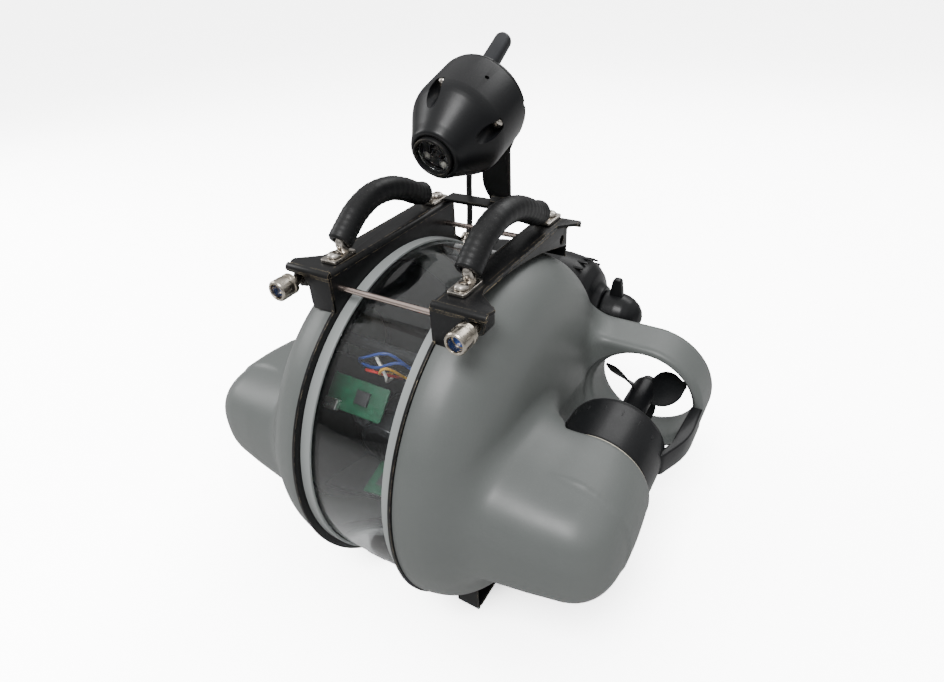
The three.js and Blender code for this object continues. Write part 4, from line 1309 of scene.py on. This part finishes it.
def makeTailKnob():
    body = turned("cap", [[68.4, 0], [68.4, 16.8], [70, 17.4], [80, 17.5], [86, 16.5], [91, 14.2],
                          [95.4, 10.8],
                          [98.4, 6.6], [99.8, 2.4], [100, 0]], "blackAcetal", segments=80, ease=1.2)
    wing = cutSheet("wing", [(71.5, 8), (84.6, 8), (81, 31.5), (74.4, 31.5)], -3, 3, "blackAcetal", "Y",
                    corner=[0, 0, 2.5, 2.5], edge=0.8)
    carve(body, wing, "UNION")
    move(body, y=tail["y"], z=tail["z"])
    body.name = "tail_cap"
    return body


def makeTetherGland():
    nut = turned("nut", [[68.4, 0], [68.4, 15.5], [78, 15.5], [78, 0]], "sealRubber", segments=8, ease=0.8)
    boot = turned("boot", [[77.4, 3.6], [77.4, 11], [80, 10.8], [84, 9.8], [88, 9.2], [90, 8.5], [94, 8.1],
                           [98, 7.3],
                           [103.4, 6.6], [104, 6], [104, 3.6]], "sealRubber", segments=56, loop=True,
                  ease=0.5)
    return move(flipped(joined("glandParts", [nut, boot], "sealRubber"), "tether_boot"), y=tail["y"],
                z=tail["z"])


settle(makeTail(), "hull", "tail_housing", slot="black_plastic")
settle(makeTailKnob(), "tail_knob_body", "tail_knob", slot="black_plastic")
gland = makeTetherGland()
settle(gland, "hull", "tether_gland", slot="rubber")
bpy.data.objects.remove(bpy.data.objects["glandParts"])
print("tail ready")

# pitching cradle behind the window
cradle = {"disc": 52.0, "teeth": 60, "module": 2.0}


def makeCradle():
    d = cradle["disc"]
    parts = []
    for sign in (1, -1):
        low = d if sign > 0 else -d - 3
        holes = [circle(58 * math.cos(math.radians(a)), 58 * math.sin(math.radians(a)), 20,
                        40) for a in (110, 250)]
        parts.append(cutSheet("disc", circle(0, 0, 94, 96), low, low + 3, "cradleSheet", "X",
                              holes=[circle(0, 0, 8.4, 32), *holes]))
        hub = turned("hub", [[sign * (d - 6), 8.3], [sign * (d - 6), 14], [sign * (d + 4.4), 14],
                             [sign * (d + 4.4), 8.3]],
                     "cradleSheet", segments=40, loop=True, ease=0.5)
        parts.append(hub)
    for a in (22, 122, 215, 325):
        bar = turned("bar", [[-d - 1, 0], [-d - 1, 4], [d + 1, 4], [d + 1, 0]], "cradleSheet", segments=24)
        parts.append(move(bar, y=84 * math.cos(math.radians(a)), z=84 * math.sin(math.radians(a))))
    parts.append(block("deck", -d - 1, d + 1, -84, 70, -34, -31, "cradleSheet"))
    parts.append(cutSheet("wall", rectangle(-d - 1, d + 1, -33, 62), -52, -49, "cradleSheet", "Y",
                          holes=[circle(0, 26, 21.4, 48)], corner=[0, 0, 4, 4]))
    return joined("cradle_sheets", parts, "cradleSheet")


def makeRingGear():
    x, m, n = cradle["disc"] + 3.3, cradle["module"], cradle["teeth"]
    pitchRadius = n * m / 2
    tooth = cutSheet("tooth", [(-2.3, -1.25), (-0.1, -0.95), (0.95, -0.5), (0.95, 0.5), (-0.1, 0.95),
                               (-2.3, 1.25)], -2, 2,
                     "blackAcetal", "Z", edge=0.15)
    teeth = repeated(tooth, n, radius=pitchRadius)
    rim = turned("rim", [[-2, 46], [-2, pitchRadius - 1.5], [2, pitchRadius - 1.5], [2, 46]],
                 "blackAcetal", "Z", 120,
                 loop=True, ease=0.3)
    gear = joined("pitch_ring_gear", [teeth, rim], "blackAcetal")
    turn(gear, 90, "Y")
    return move(gear, x=x + 2)


def makeMainCamera():
    body = turned("body", [[-84, 12], [-82, 16], [-70, 17.5], [-70, 21], [-30, 21], [-26, 17], [-26, 0]],
                  "blackAcetal",
                  "Y", 72, ease=0.8)
    lens = turned("lens", [[-84, 12], [-81, 10.6], [-80.2, 8], [-81.2, 5], [-82, 0]], "cameraGlass", "Y",
                  56, ease=0.6)
    return move(joined("main_camera_body", [body, lens]), z=26)


def makeLampPanel():
    board = block("board", 26, 48, -55.4, -53.6, 6, 46, "chipBlack")
    lamps = repeated(turned("lamp", [[-1.6, 0], [-1.6, 6], [1.2, 6], [0.2, 4], [1.6, 1.6], [1.8, 0]],
                            "drumGrey", "Z",
                            28, ease=0.4), 3, step=(0, 13, 0))
    turn(lamps, 90, "X")
    return joined("port_lamp_strip", [board, move(lamps, x=37, y=-57.2, z=13)])


def makeBoard():
    board = block("board", -24, 24, -17, 17, -0.8, 0.8, "boardGreen", corner=1.5, edge=0.2)
    parts = [board]
    for x, y, w, d, h, look in ((-14, -6, 9, 9, 2.4, "chipBlack"), (4, 4, 12, 8, 3, "chipBlack"),
                                (14, -9, 7, 6, 4, "tinPlate"),
                                (-4, 11, 5, 4, 2.2, "chipBlack"), (18, 8, 4, 6, 3, "tinPlate")):
        parts.append(block("chip", x - w / 2, x + w / 2, y - d / 2, y + d / 2, 0.7, h, look, corner=0.4,
                           edge=0.2))
    small = block("resistor", -0.9, 0.9, -0.5, 0.5, 0.7, 1.5, "tinPlate", corner=0.1, edge=0.1)
    parts.append(move(repeated(small, 9, step=(4.4, 0, 0)), x=-19, y=14.5))
    legs = block("leg", -0.3, 0.3, -0.9, 0.9, 0.7, 1.3, "tinPlate", corner=0.1, edge=0.1)
    parts.append(move(repeated(legs, 7, step=(1.5, 0, 0)), x=-0.5, y=8.6))
    parts.append(block("plug", -22, -10, -17.5, -9, -6, -0.7, "tinPlate", corner=0.8))
    parts.append(block("header", -6, 16, -16.5, -12.5, 0.7, 5.0, "wireWhite", corner=0.6))
    piece = joined("lower", parts)
    turn(piece, 35, "X")
    move(piece, y=-72, z=-14)
    riser = [block("riser", -20, 20, -11, 11, -0.8, 0.8, "boardGreen", corner=1.5, edge=0.2),
             block("socket", -19, -9, -12, -5, 0.7, 5, "tinPlate", corner=0.6),
             block("chip", 0, 9, -4, 5, 0.7, 2.6, "chipBlack", corner=0.4)]
    riser = move(turn(joined("riser", riser), 48, "X"), x=-22, y=-72, z=50)
    return joined("green_board", [piece, riser])


def makeBattery():
    parts = [block("wrap", -44, 44, -46, 46, -80, -34.3, "cellWrap", corner=9, edge=1.6)]
    for x in (-20, 20):
        parts.append(block("tape", x - 5, x + 5, -46.3, 46.3, -80.3, -34, "cellTape", corner=9, edge=1.2))
    return joined("battery_wrap", parts)


def makeDrum():
    return move(turned("drum_body", [[-30, 0], [-30, 18], [-28, 20], [-10, 20], [-9, 19.3], [9, 19.3],
                                     [10, 20], [28, 20],
                                     [30, 18], [30, 0]], "drumGrey", segments=80, ease=0.8), y=46, z=56)


def makeLoom():
    base = [(0, -49, -8), (6, -44, -2), (14, -38, 0), (20, -24, 8), (12, -16, 20), (0, -25.5, 26)]
    strands = []
    for n, look in enumerate(("wireBlue", "wireRed", "wireYellow", "wireWhite")):
        a = math.pi / 2 * n
        run = smoothRun([Vector(p) + Vector((math.cos(a + i), 0, math.sin(a + i))) * 0.9 for i,
                         p in enumerate(base)], 8)
        strands.append(swept("strand", run, [0.75] * len(run), look, 10))
    free = [("wireYellow", [(20, -24, 8), (27, -48, 22), (22, -66, 34), (8, -70, 30), (2, -60, 8),
                            (-4, -66, -6)]),
            ("wireRed", [(14, -38, 0), (22, -56, 16), (18, -70, 26), (6, -68, 16), (0, -64, 0),
                         (2, -70, -8)]),
            ("wireWhite", [(8, -40, 4), (16, -60, 24), (10, -74, 28), (0, -72, 12), (-8, -70, -8)]),
            ("wireBlue", [(-34, -46, 50), (-28, -58, 68), (-14, -66, 80), (0, -62, 84), (8, -54, 70),
                          (4, -46, 56)]),
            ("wireBlue", [(-30, -46, 56), (-20, -64, 72), (-6, -68, 76), (8, -62, 80), (14, -50, 62)]),
            ("wireRed", [(-26, -46, 52), (-20, -62, 66), (-10, -68, 72), (-2, -60, 66), (-6, -46, 54)]),
            ("wireYellow", [(-12, -46, 56), (-6, -66, 70), (2, -68, 78), (6, -58, 66), (10, -46, 50)]),
            ("wireWhite", [(-22, -46, 58), (-12, -60, 76), (-2, -66, 70), (-8, -60, 60), (-12, -50, 56)])]
    for look, points in free:
        run = smoothRun([Vector(p) for p in points], 10)
        strands.append(swept("strand", run, [0.9] * len(run), look, 10))
    return joined("coloured_wires", strands)


settle(makeCradle(), "cradle", "cradle_frame", slot="cradle")
settle(makeRingGear(), "cradle", "ring_gear", slot="black_plastic")
settle(makeMainCamera(), "cradle", "main_camera", slot="main_camera")
settlePair(makeLampPanel(), "lamp_strip", "lamp_panel", "lamp_board", ("cradle", "cradle"))
settle(makeBoard(), "cradle", "control_board", slot="circuit_board")
settle(makeBattery(), "cradle", "battery_pack", slot="battery")
settle(makeDrum(), "cradle", "drum_weight", slot="cradle")
settle(makeLoom(), "cradle", "wire_loom", slot="wiring")
for node, look in (("pinion", "nickelPlate"), ("pitch_motor", "motorCan")):
    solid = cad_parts[node]
    solid.data.materials.clear()
    solid.data.materials.append(stock[look])
print("cradle ready")

# floor and light
studio = {
    "floorSeen": 15.0, "floorShade": 0.5, "low": 0.1, "high": 1.0, "seen": 12.0,
    "lamps": [("key", (0.25, -1.1, 1.7), 0.7, 0.7, 30.0), ("fill", (-1.7, -0.3, 0.9), 0.7, 0.9, 12.0),
              ("rim", (0.2, 1.3, 1.2), 1.2, 0.6, 8.0)],
}


def makeStudio():
    disc = bmesh.new()
    bmesh.ops.create_circle(disc, cap_ends=True, segments=96, radius=30)
    mesh = bpy.data.meshes.new("studioFloor")
    disc.to_mesh(mesh)
    disc.free()
    floor = bpy.data.objects.new("studioFloor", mesh)
    bpy.context.scene.collection.objects.link(floor)
    material = bpy.data.materials.new("paleFloor")
    material.use_nodes = True
    tree = material.node_tree
    tree.nodes.clear()
    out = tree.nodes.new("ShaderNodeOutputMaterial")
    matte = tree.nodes.new("ShaderNodeBsdfDiffuse")
    path = tree.nodes.new("ShaderNodeLightPath")
    place = tree.nodes.new("ShaderNodeTexCoord").outputs["Object"]
    tone = spread(tree, noise(tree, place, 2.0, 3), studio["floorShade"], studio["floorShade"] * 1.02)
    value = maths(tree, "MULTIPLY", tone, maths(tree, "MULTIPLY_ADD", path.outputs["Is Camera Ray"],
                                                studio["floorSeen"] - 1, 1.0))
    colour = tree.nodes.new("ShaderNodeCombineColor")
    for channel in ("Red", "Green", "Blue"):
        link(tree, value, colour.inputs[channel])
    link(tree, colour.outputs[0], matte.inputs["Color"])
    link(tree, matte.outputs[0], out.inputs["Surface"])
    mesh.materials.append(material)
    world = bpy.data.worlds.new("studioWorld")
    bpy.context.scene.world = world
    world.use_nodes = True
    tree = world.node_tree
    back = tree.nodes["Background"]
    back.inputs["Color"].default_value = (1, 1, 1, 1)
    path = tree.nodes.new("ShaderNodeLightPath")
    split = tree.nodes.new("ShaderNodeSeparateXYZ")
    link(tree, tree.nodes.new("ShaderNodeTexCoord").outputs["Generated"], split.inputs[0])
    sky = maths(tree, "MULTIPLY_ADD", maths(tree, "MAXIMUM", split.outputs["Z"], 0.0), studio["high"],
                studio["low"])
    link(tree, maths(tree, "MULTIPLY_ADD", path.outputs["Is Camera Ray"], studio["seen"], sky),
         back.inputs["Strength"])
    for name, spot, wide, high, power in studio["lamps"]:
        lamp = bpy.data.lights.new(name, "AREA")
        lamp.shape = "RECTANGLE"
        lamp.size, lamp.size_y, lamp.energy = wide, high, power
        holder = bpy.data.objects.new(name, lamp)
        place = Vector(spot) + hullCentre
        aim = Vector(spot).to_track_quat("Z", "Y").to_matrix().to_4x4()
        holder.matrix_world = Matrix.Translation(place) @ aim
        bpy.context.scene.collection.objects.link(holder)


makeStudio()
print("studio ready")
